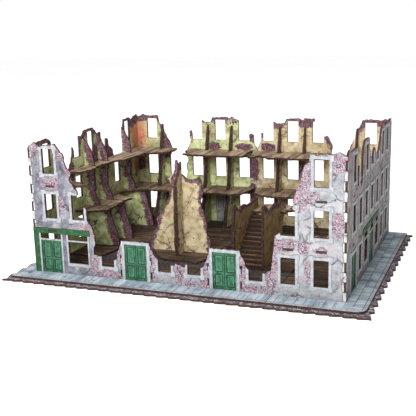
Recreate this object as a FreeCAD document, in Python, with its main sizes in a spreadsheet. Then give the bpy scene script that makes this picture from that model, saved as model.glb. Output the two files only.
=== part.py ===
import FreeCAD, Part
import math
import os
import random

# A ruined town block for miniature games, laser cut from thin printed board.
# Five modules stand side by side; each has a base, a pavement, a floor, walls, decks and trim.
# Plan places are (across, back) from the outer corner of the front and left walls, and heights
# start at the top of the pavement. Outlines are given in columns and storeys of the window grid.

doc = FreeCAD.newDocument("terrain_ruin")
sheet = doc.addObject("Spreadsheet::Sheet", "Sheet")

SIZES = [
    # alias, value, what it sets
    ("pitch", 43, "window column spacing, every wall"),
    ("storey", 64, "height of one storey"),
    ("board", 3, "thickness of the cut board"),
    ("trim", 1, "thickness of the glued-on trim"),
    ("leaf", 2, "thickness of a door leaf"),
    ("columns", 10, "window columns along the front and the back"),
    ("side_columns", 7, "window columns along each side"),
    ("end_pier", 32, "corner to first column, front and back"),
    ("side_pier", 43, "corner to first column, sides"),
    ("opening_width", 19, "clear width of a window"),
    ("opening_height", 35, "clear height of a window"),
    ("sill", 16.5, "floor to window opening"),
    ("frame_bar", 3.9, "width of a window trim bar"),
    ("ear", 1.8, "how far corner blocks stand out of the bars"),
    ("block", 7.8, "side of a corner block"),
    ("door_width", 33, "clear width of a doorway"),
    ("door_height", 51, "clear height of a doorway"),
    ("door_bar", 4.7, "width of a door trim bar"),
    ("fascia_height", 8, "height of the shop fascia"),
    ("shop_door_width", 33, "clear width of a shop doorway"),
    ("shop_window_width", 31, "clear width of a shop window"),
    ("pilaster", 9, "green pilaster at the shop corner"),
    ("shop_post", 2.8, "width of a shop front post"),
    ("shop_pier", 6, "wall between the left shop door and window"),
    ("quoins", 5, "corner fingers in one storey"),
    ("pavement_front", 30, "pavement in front of the building"),
    ("pavement_right", 29, "pavement on the right"),
    ("pavement_left", 24, "pavement on the left"),
    ("back_lip", 3, "board behind the back wall"),
    ("rubble", 9, "base board showing beyond the pavement"),
    ("scallop", 3.5, "depth of the scallops on the front edge of the base"),
    ("scallop_length", 17, "length of one scallop on the front edge of the base"),
    ("side_scallop", 7, "depth of the scallops on the side edges of the base"),
    ("side_scallop_length", 25, "length of one scallop on the side edges of the base"),
    ("kerb_radius", 14, "rounded pavement corner"),
    ("deck_depth", 60, "depth of the decks on the back wall"),
    ("slot_width", 13.5, "width of a deck tab slot"),
    ("fit_gap", 0.15, "clearance round tabs and in notches"),
    ("seam_gap", 0.6, "space between neighbouring modules"),
    ("stair_run", 6.5, "going of one step"),
    ("steps", 13, "steps in the flight"),
    ("tread", 1.5, "thickness of a stair tread"),
    ("nosing", 1, "how far a tread stands out over its riser"),
    ("flank_slot_width", 2.2, "width of the tab slots beside a street door"),
    ("flank_slot_height", 10, "height of the tab slots beside a street door"),
    ("transom_drop", 10, "head of a shop opening down to its transom"),
    ("door_gap", 0.3, "gap between the two leaves of a door"),
    ("stile", 3, "edge of a door leaf to its sunk panels"),
    ("panel_depth", 0.6, "depth of the sunk panels of a door"),
]
for row, (alias, value, note) in enumerate(SIZES, start=1):
    sheet.set(f"A{row}", note)
    sheet.set(f"B{row}", str(value))
    sheet.setAlias(f"B{row}", alias)
doc.recompute()


def size(alias):
    return float(sheet.get(alias))


pitch = size("pitch")
storey = size("storey")
board = size("board")
trim = size("trim")
leaf = size("leaf")
columns = int(size("columns"))
side_columns = int(size("side_columns"))
end_pier = size("end_pier")
side_pier = size("side_pier")
opening_width = size("opening_width")
opening_height = size("opening_height")
sill = size("sill")
frame_bar = size("frame_bar")
ear = size("ear")
block = size("block")
door_width = size("door_width")
door_height = size("door_height")
door_bar = size("door_bar")
fascia_height = size("fascia_height")
shop_door_width = size("shop_door_width")
shop_window_width = size("shop_window_width")
pilaster = size("pilaster")
shop_post = size("shop_post")
shop_pier = size("shop_pier")
quoin = storey / size("quoins")
pavement_front = size("pavement_front")
pavement_right = size("pavement_right")
pavement_left = size("pavement_left")
back_lip = size("back_lip")
rubble = size("rubble")
scallop = size("scallop")
scallop_length = size("scallop_length")
side_scallop = size("side_scallop")
side_scallop_length = size("side_scallop_length")
kerb_radius = size("kerb_radius")
deck_depth = size("deck_depth")
slot_width = size("slot_width")
fit_gap = size("fit_gap")
half_seam = size("seam_gap") / 2
stair_run = size("stair_run")
steps = int(size("steps"))
tread = size("tread")
nosing = size("nosing")
flank_slot_width = size("flank_slot_width")
flank_slot_height = size("flank_slot_height")
transom_drop = size("transom_drop")
door_gap = size("door_gap")
stile = size("stile")
panel_depth = size("panel_depth")

length = 2 * end_pier + (columns - 1) * pitch
depth = 2 * side_pier + (side_columns - 1) * pitch
inner_back = depth - board
inner_right = length - board

# The row's origin is the middle of the base board's underside.
full_length = pavement_left + length + pavement_right + 2 * rubble
full_depth = pavement_front + rubble + depth + back_lip
origin_x = -full_length / 2 + rubble + pavement_left
origin_y = -full_depth / 2 + rubble + pavement_front
origin_z = 2 * board


def across(column):
    """Distance from the left face to a window column of the front and back walls."""
    return end_pier + pitch * column


def back(column):
    """Distance from the front face to a window column of the side walls, counted from 1."""
    return side_pier + pitch * (column - 1)


def up(storeys):
    return storey * storeys


seam_left = across(4.5)
seam_right = across(7.5)
seam_front = back(2)
seam_side = back(5.5)


# ---------------------------------------------------------------- outlines

def torn(name, points, bite=0.9, step=3.5):
    """A broken edge through the named points: each run wanders a little to either side."""
    dice = random.Random(name)
    edge = [points[0]]
    for (x0, y0), (x1, y1) in zip(points, points[1:]):
        run = math.hypot(x1 - x0, y1 - y0)
        pieces = max(1, round(run / step))
        for index in range(1, pieces):
            part = index / pieces
            shift = bite * dice.uniform(-1, 1) * min(1, run / (2 * step))
            edge.append((
                x0 + (x1 - x0) * part - shift * (y1 - y0) / run,
                y0 + (y1 - y0) * part + shift * (x1 - x0) / run,
            ))
        edge.append((x1, y1))
    return edge


# waves that add up to the crack between two modules, as (swing, height of one radian, start)
CRACK_WAVES = [(2.6, 6.1, 0), (1.3, 2.3, 1)]


def crack(height):
    """Sideways wander of the crack between two modules at a height."""
    return sum(swing * math.sin(height / reach + start) for swing, reach, start in CRACK_WAVES)


def rise(kind, place, top, sign):
    """Upright edge of a wall from its foot to top: a cracked seam, or corner fingers.

    sign is +1 on a wall's right or rear edge and -1 on its left or front edge.
    """
    if kind == "seam":
        count = max(2, round(top / 3))
        heights = [top * index / count for index in range(count + 1)]
        return [(place + crack(z) - sign * half_seam, z) for z in heights]
    points = []
    level = 0
    z = 0
    while z < top:
        inset = board if (level % 2 == 0) == (kind == "even") else 0
        edge = place - sign * inset
        points.append((edge, z))
        z = min(top, z + quoin)
        points.append((edge, z))
        level += 1
    return points


def wall_outline(name, left, right, top, grid):
    """Closed outline of a wall: foot, two upright edges and a broken top.

    left and right are (kind, place); top holds (column, storeys) points; grid turns a column
    into a distance along the wall.
    """
    broken = torn(name, [(grid(column), up(storeys)) for column, storeys in top])
    left_edge = rise(left[0], left[1], broken[0][1], -1)
    right_edge = rise(right[0], right[1], broken[-1][1], 1)
    low = left[1] + board + 1
    high = right[1] - board - 1
    crest = [(x, z) for x, z in broken[1:-1] if low < x < high]
    return left_edge + crest + right_edge[::-1]


def rectangle(x0, y0, x1, y1):
    return [(x0, y0), (x1, y0), (x1, y1), (x0, y1)]


def window(grid, column, floor):
    middle = grid(column)
    foot = up(floor) + sill
    half = opening_width / 2
    return rectangle(middle - half, foot, middle + half, foot + opening_height)


def doorway(grid, column, width=door_width, height=door_height):
    middle = grid(column)
    return rectangle(middle - width / 2, 0, middle + width / 2, height)


def slot(grid, column, level):
    """Slot in a wall for the tab of the deck at a level."""
    middle = grid(column)
    half = slot_width / 2
    return rectangle(middle - half, up(level) - board, middle + half, up(level))


# ---------------------------------------------------------------- solids

def place(x, y, z):
    """A placement from a plan place and a height over the pavement."""
    return FreeCAD.Placement(
        FreeCAD.Vector(origin_x + x, origin_y + y, origin_z + z), FreeCAD.Rotation()
    )


PLANES = {"plan": "XY_Plane", "front": "XZ_Plane", "side": "YZ_Plane"}


def sketch_on(body, plane, name, loops):
    sketch = body.newObject("Sketcher::SketchObject", name)
    roles = {feature.Role: feature for feature in body.Origin.OriginFeatures}
    sketch.AttachmentSupport = [(roles[PLANES[plane]], "")]
    sketch.MapMode = "FlatFace"
    for loop in loops:
        corners = [FreeCAD.Vector(x, y, 0) for x, y in loop]
        lines = [Part.LineSegment(a, b) for a, b in zip(corners, corners[1:] + corners[:1])]
        sketch.addGeometry(lines, False)
    return sketch


def plate(label, plane, offset, loops, cuts=(), tabs=(), thickness="board", sockets=()):
    """A flat board. It starts at its offset and grows up, to the back or to the right.

    loops are its outlines, cuts are holes through it, tabs are tongues fused to it, and sockets
    are (loops, depth) sunk into its starting face.
    """
    body = doc.addObject("PartDesign::Body", label)
    body.AllowCompound = True
    outline = sketch_on(body, plane, label + "_outline", loops)
    pad = body.newObject("PartDesign::Pad", label + "_pad")
    pad.Profile = outline
    pad.Reversed = plane == "front"
    pad.setExpression("Length", "Sheet." + thickness)
    if tabs:
        tongues = sketch_on(body, plane, label + "_tabs", tabs)
        tab_pad = body.newObject("PartDesign::Pad", label + "_tab_pad")
        tab_pad.Profile = tongues
        tab_pad.Reversed = plane == "front"
        tab_pad.setExpression("Length", "Sheet." + thickness)
    if cuts:
        holes = sketch_on(body, plane, label + "_holes", cuts)
        pocket = body.newObject("PartDesign::Pocket", label + "_pocket")
        pocket.Profile = holes
        pocket.Type = "ThroughAll"
        pocket.Reversed = plane != "front"
    if sockets:
        panel_loops, panel_depth = sockets
        panels = sketch_on(body, plane, label + "_panels", panel_loops)
        panel = body.newObject("PartDesign::Pocket", label + "_panel_pocket")
        panel.Profile = panels
        panel.Length = panel_depth
        panel.Reversed = plane != "front"
    places = {"plan": (0, 0, offset), "front": (0, offset, 0), "side": (offset, 0, 0)}
    body.Placement = place(*places[plane])
    return body


PARTS = []


def keep(body):
    PARTS.append(body)
    return body


# ---------------------------------------------------------------- base, pavement and floor

# one scallop as (share of its length, share of its depth)
SCALLOP_SHAPE = [(0.0, 0.0), (0.22, 0.15), (0.5, 0.45), (0.72, 0.9), (0.86, 1.0), (0.93, 0.4)]


def scalloped(name, start, end, outward):
    """Wavy edge from start to end whose crests reach as far as the two ends lie."""
    dice = random.Random(name)
    run = math.hypot(end[0] - start[0], end[1] - start[1])
    if outward[0]:
        wave_length = side_scallop_length
        deepest = side_scallop
    else:
        wave_length = scallop_length
        deepest = scallop
    waves = max(2, round(run / wave_length))
    points = []
    for wave in range(waves):
        bite = deepest * dice.uniform(0.6, 1.0)
        for part, share in SCALLOP_SHAPE:
            along = (wave + part) / waves
            points.append((
                start[0] + (end[0] - start[0]) * along - outward[0] * bite * share,
                start[1] + (end[1] - start[1]) * along - outward[1] * bite * share,
            ))
    points.append(end)
    return points


left_edge = -pavement_left
right_edge = length + pavement_right
front_edge = -pavement_front
rear_edge = depth + back_lip
base_left = left_edge - rubble
base_right = right_edge + rubble
base_front = front_edge - rubble
base_z = -2 * board
pavement_z = -board

keep(plate("base_front_left", "plan", base_z, [
    scalloped("front left", (base_left, base_front), (seam_left - half_seam, base_front), (0, -1))
    + [(seam_left - half_seam, seam_front - half_seam), (base_left, seam_front - half_seam)]
    + scalloped("left front", (base_left, seam_front - half_seam), (base_left, base_front), (-1, 0))[1:-1]
]))
keep(plate("base_front_middle", "plan", base_z, [
    scalloped("front middle", (seam_left + half_seam, base_front),
              (seam_right - half_seam, base_front), (0, -1))
    + [(seam_right - half_seam, seam_front - half_seam), (seam_left + half_seam, seam_front - half_seam)]
]))
keep(plate("base_front_right", "plan", base_z, [
    scalloped("front right", (seam_right + half_seam, base_front), (base_right, base_front), (0, -1))[:-1]
    + scalloped("right front", (base_right, base_front), (base_right, seam_side - half_seam), (1, 0))
    + [(seam_right + half_seam, seam_side - half_seam)]
]))
keep(plate("base_back_left", "plan", base_z, [
    [(base_left, seam_front + half_seam), (seam_left - half_seam, seam_front + half_seam)]
    + [(seam_left - half_seam, rear_edge), (base_left, rear_edge)]
    + scalloped("left back", (base_left, rear_edge), (base_left, seam_front + half_seam), (-1, 0))[1:-1]
]))
keep(plate("base_back_right", "plan", base_z, [
    [(seam_left + half_seam, seam_front + half_seam), (seam_right - half_seam, seam_front + half_seam)]
    + [(seam_right - half_seam, seam_side + half_seam)]
    + scalloped("right back", (base_right, seam_side + half_seam), (base_right, rear_edge), (1, 0))
    + [(seam_left + half_seam, rear_edge)]
]))

arc_steps = 8
corner_arc = [
    (right_edge - kerb_radius * (1 - math.sin(turn)), front_edge + kerb_radius * (1 - math.cos(turn)))
    for turn in (math.pi / 2 * index / arc_steps for index in range(arc_steps + 1))
]
keep(plate("pavement_front_left", "plan", pavement_z, [[
    (left_edge, front_edge), (seam_left - half_seam, front_edge), (seam_left - half_seam, board),
    (board, board), (board, seam_front - half_seam), (left_edge, seam_front - half_seam),
]]))
keep(plate("pavement_front_middle", "plan", pavement_z, [
    rectangle(seam_left + half_seam, front_edge, seam_right - half_seam, board)
]))
keep(plate("pavement_front_right", "plan", pavement_z, [
    [(seam_right + half_seam, front_edge)] + corner_arc
    + [(right_edge, seam_side - half_seam), (inner_right, seam_side - half_seam)]
    + [(inner_right, board), (seam_right + half_seam, board)]
]))
keep(plate("pavement_back_left", "plan", pavement_z, [[
    (left_edge, seam_front + half_seam), (board, seam_front + half_seam), (board, inner_back),
    (seam_left - half_seam, inner_back), (seam_left - half_seam, rear_edge), (left_edge, rear_edge),
]]))
keep(plate("pavement_back_right", "plan", pavement_z, [[
    (seam_left + half_seam, inner_back), (inner_right, inner_back), (inner_right, seam_side + half_seam),
    (right_edge, seam_side + half_seam), (right_edge, rear_edge), (seam_left + half_seam, rear_edge),
]]))

keep(plate("floor_front_left", "plan", pavement_z, [
    [(board, board), (seam_left - half_seam, board)]
    + torn("floor front left", [
        (seam_left - half_seam, back(1.75)), (across(4.2), back(1.8)), (across(3.9), back(1.68)),
        (across(3.1), back(1.5)), (across(2.3), back(1.62)), (across(1.4), back(1.45)),
        (across(0.9), back(1.72)), (across(0.2), back(1.85)), (board, back(1.9)),
    ], bite=1.6)
]))
keep(plate("floor_front_middle", "plan", pavement_z, [
    [(seam_left + half_seam, board), (seam_right - half_seam, board)]
    + torn("floor front middle", [
        (seam_right - half_seam, back(1.7)), (across(7.0), back(1.8)), (across(6.4), back(1.55)),
        (across(5.6), back(1.75)), (across(5.0), back(1.6)), (seam_left + half_seam, back(1.8)),
    ], bite=1.6)
]))
keep(plate("floor_front_right", "plan", pavement_z, [
    [(seam_right + half_seam, board), (inner_right, board), (inner_right, seam_side - half_seam)]
    + [(across(7.9), seam_side - half_seam)]
    + torn("floor front right", [
        (across(7.9), seam_side - half_seam), (across(7.7), back(4.9)), (across(7.95), back(4.2)),
        (across(7.65), back(3.5)), (across(7.8), back(2.9)), (across(7.6), back(2.2)),
        (seam_right + half_seam, back(1.9)),
    ], bite=1.4)[1:]
], cuts=[
    torn("floor split near", [(across(8.0), back(1.15)), (across(8.35), back(1.22)), (across(8.3), back(1.3)),
                              (across(8.0), back(1.24))], bite=0.5),
    torn("floor split far", [(across(7.9), back(1.5)), (across(8.4), back(1.62)), (across(8.3), back(1.72)),
                             (across(7.95), back(1.6))], bite=0.5),
]))
keep(plate("floor_back_left", "plan", pavement_z, [
    [(seam_left - half_seam, inner_back), (board, inner_back), (board, seam_front + 2 * board)]
    + torn("floor back left", [
        (board, seam_front + 2 * board), (across(0.37), back(2.05)), (across(0.58), back(2.35)),
        (across(0.67), back(2.8)), (across(0.7), back(3.3)), (across(0.9), back(3.9)),
        (across(1.1), back(4.3)), (across(1.55), back(4.35)), (across(1.84), back(3.95)),
        (across(1.93), back(3.6)), (across(2.44), back(2.75)), (across(2.88), back(2.42)),
        (across(3.72), back(2.48)), (across(4.1), back(2.28)), (across(4.25), back(2.8)),
        (across(4.15), back(3.5)), (across(4.35), back(4.3)), (seam_left - half_seam, back(4.4)),
    ], bite=1.6)[1:]
]))
keep(plate("floor_back_right", "plan", pavement_z, [
    [(inner_right, inner_back), (seam_left + half_seam, inner_back)]
    + torn("floor back right", [
        (seam_left + half_seam, back(4.4)), (across(4.7), back(4.6)), (across(4.95), back(4.2)),
        (across(5.2), back(3.4)), (across(5.4), back(2.4)), (across(5.9), back(2.28)),
        (across(6.6), back(2.32)), (across(7.0), back(2.28)), (seam_right - half_seam, back(2.4)),
    ], bite=1.4)
    + [(seam_right - half_seam, seam_side + half_seam), (inner_right, seam_side + half_seam)]
]))

# ---------------------------------------------------------------- walls

FACADE_LEFT = [
    (-0.74, 2.81), (-0.65, 2.88), (-0.51, 2.94), (-0.4, 2.89), (-0.3, 2.84), (-0.02, 2.89), (0.28, 2.91),
    (0.42, 2.78), (0.56, 2.66), (0.56, 2.55), (0.67, 2.38), (0.81, 2.3), (0.74, 2.12), (0.86, 2.0),
    (1.0, 1.89), (0.98, 1.76), (1.19, 1.58), (1.3, 1.52), (1.3, 1.28), (1.42, 1.16), (1.51, 1.03),
    (1.56, 0.8), (1.49, 0.61), (1.49, 0.5), (1.74, 0.48), (1.81, 0.47), (2.19, 0.41), (2.33, 0.45),
    (2.35, 0.59), (2.49, 0.78), (2.51, 0.87), (3.49, 0.87), (3.53, 0.78), (3.6, 0.64), (3.7, 0.56),
    (3.81, 0.48), (4.19, 0.42), (4.33, 0.42), (4.37, 0.47), (4.5, 0.45),
]
FACADE_MIDDLE = [
    (4.5, 0.45), (4.67, 0.39), (4.72, 0.47), (4.81, 0.47), (5.21, 0.42), (5.33, 0.47), (5.4, 0.59),
    (5.51, 0.78), (5.52, 0.87), (6.49, 0.87), (6.53, 0.78), (6.63, 0.66), (6.7, 0.53), (6.81, 0.47),
    (7.19, 0.44), (7.33, 0.44), (7.37, 0.48), (7.5, 0.5),
]
FACADE_RIGHT = [
    (7.5, 0.5), (7.47, 0.64), (7.58, 0.7), (7.56, 0.89), (7.58, 1.08), (7.6, 1.23), (7.74, 1.3),
    (7.81, 1.3), (8.19, 1.41), (8.16, 1.86), (8.14, 1.97), (8.21, 2.08), (8.26, 2.22), (8.4, 2.34),
    (8.42, 2.53), (8.49, 2.67), (8.63, 2.73), (8.67, 2.89), (9.33, 2.91), (9.49, 2.95), (9.6, 2.92),
    (9.74, 2.86),
]
BACK_LEFT = [
    (-0.74, 2.89), (-0.63, 2.84), (-0.42, 2.92), (-0.26, 2.88), (0.23, 2.9), (0.3, 2.69), (0.51, 2.59),
    (0.53, 2.47), (0.65, 2.27), (0.77, 2.17), (0.86, 2.0), (0.81, 1.82), (0.88, 1.33), (0.95, 1.16),
    (1.23, 1.08), (1.47, 1.17), (1.53, 1.33), (1.49, 1.52), (1.58, 1.69), (1.51, 1.84), (1.56, 1.98),
    (1.7, 2.17), (1.67, 2.47), (1.74, 2.5), (1.81, 2.3), (2.19, 2.3), (2.19, 2.8), (2.35, 2.73),
    (2.6, 2.75), (2.67, 2.86), (3.21, 2.88), (3.37, 2.83), (3.49, 2.89), (3.6, 2.83), (3.81, 2.78),
    (3.81, 2.3), (4.19, 2.3), (4.19, 2.42), (4.3, 2.45), (4.4, 2.41), (4.44, 2.28), (4.5, 2.19),
]
BACK_RIGHT = [
    (4.5, 2.06), (4.7, 2.25), (4.72, 2.47), (4.79, 2.48), (4.81, 2.3), (5.19, 2.3), (5.19, 2.78),
    (5.35, 2.73), (5.65, 2.75), (5.74, 2.86), (6.23, 2.88), (6.37, 2.83), (6.47, 2.89), (6.58, 2.88),
    (6.72, 2.87), (6.86, 2.88), (6.81, 2.3), (7.19, 2.3), (7.19, 2.42), (7.33, 2.45), (7.42, 2.39),
    (7.49, 2.28), (7.56, 2.16), (7.51, 2.0), (7.65, 1.89), (7.93, 1.88), (8.16, 1.97), (8.23, 2.19),
    (8.33, 2.34), (8.42, 2.41), (8.44, 2.58), (8.58, 2.7), (8.67, 2.86), (8.81, 2.89), (9.23, 2.88),
    (9.35, 2.86), (9.51, 2.91), (9.63, 2.89), (9.74, 2.84),
]
LEFT_FRONT = [
    (0, 2.86), (0.28, 2.81), (0.47, 2.87), (1.07, 2.91), (1.3, 2.82), (1.35, 2.56), (1.47, 2.38),
    (1.53, 2.12), (1.72, 2.0), (2, 1.89),
]
LEFT_BACK = [
    (2, 1.89), (2.26, 1.95), (2.44, 2.06), (2.6, 2.22), (2.7, 2.34), (2.72, 2.53), (2.81, 2.3),
    (3.19, 2.3), (3.19, 2.78), (3.35, 2.72), (3.49, 2.77), (3.6, 2.86), (4.23, 2.87), (4.42, 2.75),
    (4.6, 2.67), (4.81, 2.72), (4.81, 2.3), (5.19, 2.3), (5.19, 2.48), (5.3, 2.5), (5.4, 2.3),
    (5.65, 2.19), (5.79, 1.95), (6.09, 1.89), (6.42, 1.97), (6.6, 1.95), (6.72, 2.19), (6.7, 2.58),
    (6.78, 2.86), (7.26, 2.87), (7.47, 2.78), (7.67, 2.88), (8, 2.91),
]
RIGHT_FRONT = [
    (0, 2.88), (0.12, 2.92), (0.28, 2.97), (0.47, 2.92), (0.72, 2.91), (1.3, 2.91), (1.4, 2.75),
    (1.44, 2.5), (1.4, 2.22), (1.53, 2.05), (1.65, 2.12), (1.7, 2.34), (1.81, 2.55), (1.93, 2.56),
    (2.0, 2.34), (1.95, 2.12), (2.14, 2.02), (2.28, 2.09), (2.37, 2.34), (2.33, 2.61), (2.47, 2.81),
    (2.72, 2.91), (3.28, 2.92), (3.44, 2.84), (3.53, 2.66), (3.65, 2.53), (3.81, 2.3), (4.19, 2.3),
    (4.28, 2.5), (4.47, 2.58), (4.65, 2.52), (4.81, 2.3), (5.19, 2.3), (5.3, 2.41), (5.5, 2.58),
]
RIGHT_BACK = [
    (5.5, 2.58), (5.67, 2.67), (5.79, 2.86), (6, 2.94), (6.23, 2.91), (6.51, 2.88), (7.23, 2.91),
    (7.44, 2.86), (7.67, 2.94), (8, 2.92),
]

shop_middle = pilaster + shop_post + shop_door_width / 2
shop_window_middle = (
    shop_middle + shop_door_width / 2 + 2 * shop_post + shop_pier + shop_window_width / 2
)
side_window_width = shop_window_width - shop_post
shop_head = storey - 0.75 * fascia_height
transom = shop_head - transom_drop
transom_bar = 0.8 * shop_post


def shop_opening(middle, width, foot):
    return rectangle(middle - width / 2, foot, middle + width / 2, shop_head)


def flank_slots(grid, column):
    """Two narrow tab slots on each side of a street door."""
    slots = []
    for side in (-1, 1):
        middle = grid(column) + side * (door_width / 2 + door_bar + 0.8 * flank_slot_width)
        half = flank_slot_width / 2
        for foot in (0.4 * flank_slot_height, 2.5 * flank_slot_height):
            slots.append(rectangle(middle - half, foot, middle + half, foot + flank_slot_height))
    return slots


def windows(grid, places):
    return [window(grid, column, floor) for column, floor in places]


def slots(grid, places):
    return [slot(grid, column, level) for column, level in places]


OUTLINES = {
    "facade_left": wall_outline("facade_left", ("odd", 0), ("seam", seam_left), FACADE_LEFT, across),
    "facade_middle": wall_outline(
        "facade_middle", ("seam", seam_left), ("seam", seam_right), FACADE_MIDDLE, across
    ),
    "facade_right": wall_outline("facade_right", ("seam", seam_right), ("odd", length), FACADE_RIGHT, across),
    "back_wall_left": wall_outline("back_wall_left", ("odd", 0), ("seam", seam_left), BACK_LEFT, across),
    "back_wall_right": wall_outline(
        "back_wall_right", ("seam", seam_left), ("odd", length), BACK_RIGHT, across
    ),
    "left_wall_front": wall_outline("left_wall_front", ("even", 0), ("seam", seam_front), LEFT_FRONT, back),
    "left_wall_back": wall_outline("left_wall_back", ("seam", seam_front), ("even", depth), LEFT_BACK, back),
    "right_wall_front": wall_outline("right_wall_front", ("even", 0), ("seam", seam_side), RIGHT_FRONT, back),
    "right_wall_back": wall_outline(
        "right_wall_back", ("seam", seam_side), ("even", depth), RIGHT_BACK, back
    ),
}
WINDOWS = {
    "facade_left": [(0, 1), (1, 1), (0, 2), (2, 0), (4, 0)],
    "facade_middle": [(5, 0), (7, 0)],
    "facade_right": [(8, 0), (9, 0), (8, 1), (9, 1), (9, 2)],
    "back_wall_left": [(c, f) for c in range(5) for f in range(3) if (c, f) != (3, 0)],
    "back_wall_right": [(c, f) for c in range(5, 10) for f in range(3)],
    "left_wall_front": [(1, f) for f in range(3)],
    "left_wall_back": [(c, f) for c in range(3, 8) for f in range(3)],
    "right_wall_front": [(2, 0)] + [(c, f) for c in range(1, 6) for f in (1, 2)],
    "right_wall_back": [(c, f) for c in (6, 7) for f in range(3)],
}
SLOTS = {
    "facade_left": [(0, 1), (0, 2)],
    "facade_middle": [],
    "facade_right": [(8, 1), (9, 1), (9, 2)],
    "back_wall_left": [(0, 1), (0, 2), (2, 1), (3, 1), (4, 1), (2, 2), (3, 2), (4, 2)],
    "back_wall_right": [(c, f) for c in range(5, 10) for f in (1, 2) if (c, f) not in ((8, 2), (9, 2))],
    "left_wall_front": [(1, 1), (1, 2)],
    "left_wall_back": [(3, 1), (4, 1), (7, 1), (3, 2), (4, 2), (5, 2), (7, 2)],
    "right_wall_front": [(1, 1), (2, 1), (3, 1), (4, 1), (1, 2)],
    "right_wall_back": [(7, 1)],
}
shop_right_windows = [back(3), back(5)]
DOORWAYS = {
    "facade_left": [
        doorway(across, 3),
        shop_opening(shop_middle, shop_door_width, 0),
        shop_opening(shop_window_middle, shop_window_width, sill),
    ] + flank_slots(across, 3),
    "facade_middle": [doorway(across, 6)] + flank_slots(across, 6),
    "back_wall_left": [doorway(across, 3, opening_width, door_height)],
    "right_wall_front": [
        doorway(back, 1),
        shop_opening(back(4), shop_door_width, 0),
    ] + [shop_opening(middle, side_window_width, sill) for middle in shop_right_windows],
}
WALLS = {
    "facade_left": ("front", 0),
    "facade_middle": ("front", 0),
    "facade_right": ("front", 0),
    "back_wall_left": ("front", inner_back),
    "back_wall_right": ("front", inner_back),
    "left_wall_front": ("side", 0),
    "left_wall_back": ("side", 0),
    "right_wall_front": ("side", inner_right),
    "right_wall_back": ("side", inner_right),
}
GRIDS = {"front": across, "side": back}

for name, (plane, offset) in WALLS.items():
    grid = GRIDS[plane]
    holes = windows(grid, WINDOWS[name]) + slots(grid, SLOTS[name]) + DOORWAYS.get(name, [])
    keep(plate(name, plane, offset, [OUTLINES[name]], cuts=holes))

# ---------------------------------------------------------------- window and door trim

def face(loop, plane):
    """Flat face of a loop on a plane through the building's corner."""
    if plane == "front":
        corners = [FreeCAD.Vector(x, 0, z) for x, z in loop]
    else:
        corners = [FreeCAD.Vector(0, y, z) for y, z in loop]
    return Part.Face(Part.makePolygon(corners + corners[:1]))


def eared(x0, z0, x1, z1):
    """Rectangle whose four corners are blocks that stand out by one ear."""
    return [
        (x0 - ear, z0 - ear), (x0 + block - ear, z0 - ear), (x0 + block - ear, z0),
        (x1 - block + ear, z0), (x1 - block + ear, z0 - ear), (x1 + ear, z0 - ear),
        (x1 + ear, z0 + block - ear), (x1, z0 + block - ear), (x1, z1 - block + ear),
        (x1 + ear, z1 - block + ear), (x1 + ear, z1 + ear), (x1 - block + ear, z1 + ear),
        (x1 - block + ear, z1), (x0 + block - ear, z1), (x0 + block - ear, z1 + ear),
        (x0 - ear, z1 + ear), (x0 - ear, z1 - block + ear), (x0, z1 - block + ear),
        (x0, z0 + block - ear), (x0 - ear, z0 + block - ear),
    ]


def window_trim(plane, column, floor):
    hole = window(GRIDS[plane], column, floor)
    (x0, z0), (x1, z1) = hole[0], hole[2]
    outer = eared(x0 - frame_bar, z0 - frame_bar, x1 + frame_bar, z1 + frame_bar)
    return face(outer, plane).cut(face(hole, plane))


def door_trim(plane, column):
    """Door surround: two uprights, a head, and blocks at the head and half way up."""
    middle = GRIDS[plane](column)
    inner = door_width / 2
    outer = inner + door_bar
    top = door_height + door_bar
    waist = 0.45 * door_height
    half = [
        (inner, 0), (outer, 0), (outer, waist), (outer + ear, waist), (outer + ear, waist + block),
        (outer, waist + block), (outer, top - block), (outer + ear, top - block), (outer + ear, top + ear),
        (outer - block, top + ear), (outer - block, top),
    ]
    right = [(middle + x, z) for x, z in half]
    left = [(middle - x, z) for x, z in reversed(half)]
    ring = right + left + [(middle - inner, door_height), (middle + inner, door_height)]
    return face(ring, plane)


def bar(plane, x0, z0, x1, z1):
    return face(rectangle(x0, z0, x1, z1), plane)


def shop_bars(plane, middle, width, foot):
    """Posts, transom and, on a window, the bottom rail of one shop opening."""
    x0 = middle - width / 2
    x1 = middle + width / 2
    start = foot - door_bar if foot else 0
    bars = [
        bar(plane, x0 - shop_post, start, x0, shop_head),
        bar(plane, x1, start, x1 + shop_post, shop_head),
        bar(plane, x0, transom, x1, transom + transom_bar),
    ]
    if foot:
        bars.append(bar(plane, x0, foot - door_bar, x1, foot))
    return bars


def trim_on(wall, faces):
    """Solids of trim glued on a wall's outer face, broken off where the wall is."""
    plane, offset = WALLS[wall]
    outline = face(OUTLINES[wall], plane)
    if plane == "front":
        outward = FreeCAD.Vector(0, -trim if offset == 0 else trim, 0)
        shift = FreeCAD.Vector(0, 0 if offset == 0 else depth, 0)
    else:
        outward = FreeCAD.Vector(-trim if offset == 0 else trim, 0, 0)
        shift = FreeCAD.Vector(0 if offset == 0 else length, 0, 0)
    smallest = 4.0
    solids = []
    for whole in faces:
        for piece in whole.common(outline).Faces:
            if piece.Area > smallest:
                solid = piece.extrude(outward)
                solid.translate(shift)
                solids.append(solid)
    return solids


def group(label, solids):
    feature = doc.addObject("Part::Feature", label)
    feature.Shape = Part.makeCompound(solids)
    feature.Placement = place(0, 0, 0)
    return keep(feature)


def trims(wall):
    plane = WALLS[wall][0]
    return [window_trim(plane, column, floor) for column, floor in WINDOWS[wall]]


shop_left_bars = (
    shop_bars("front", shop_middle, shop_door_width, 0)
    + shop_bars("front", shop_window_middle, shop_window_width, sill)
)
shop_right_bars = shop_bars("side", back(4), shop_door_width, 0)
for middle in shop_right_windows:
    shop_right_bars += shop_bars("side", middle, side_window_width, sill)

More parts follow.
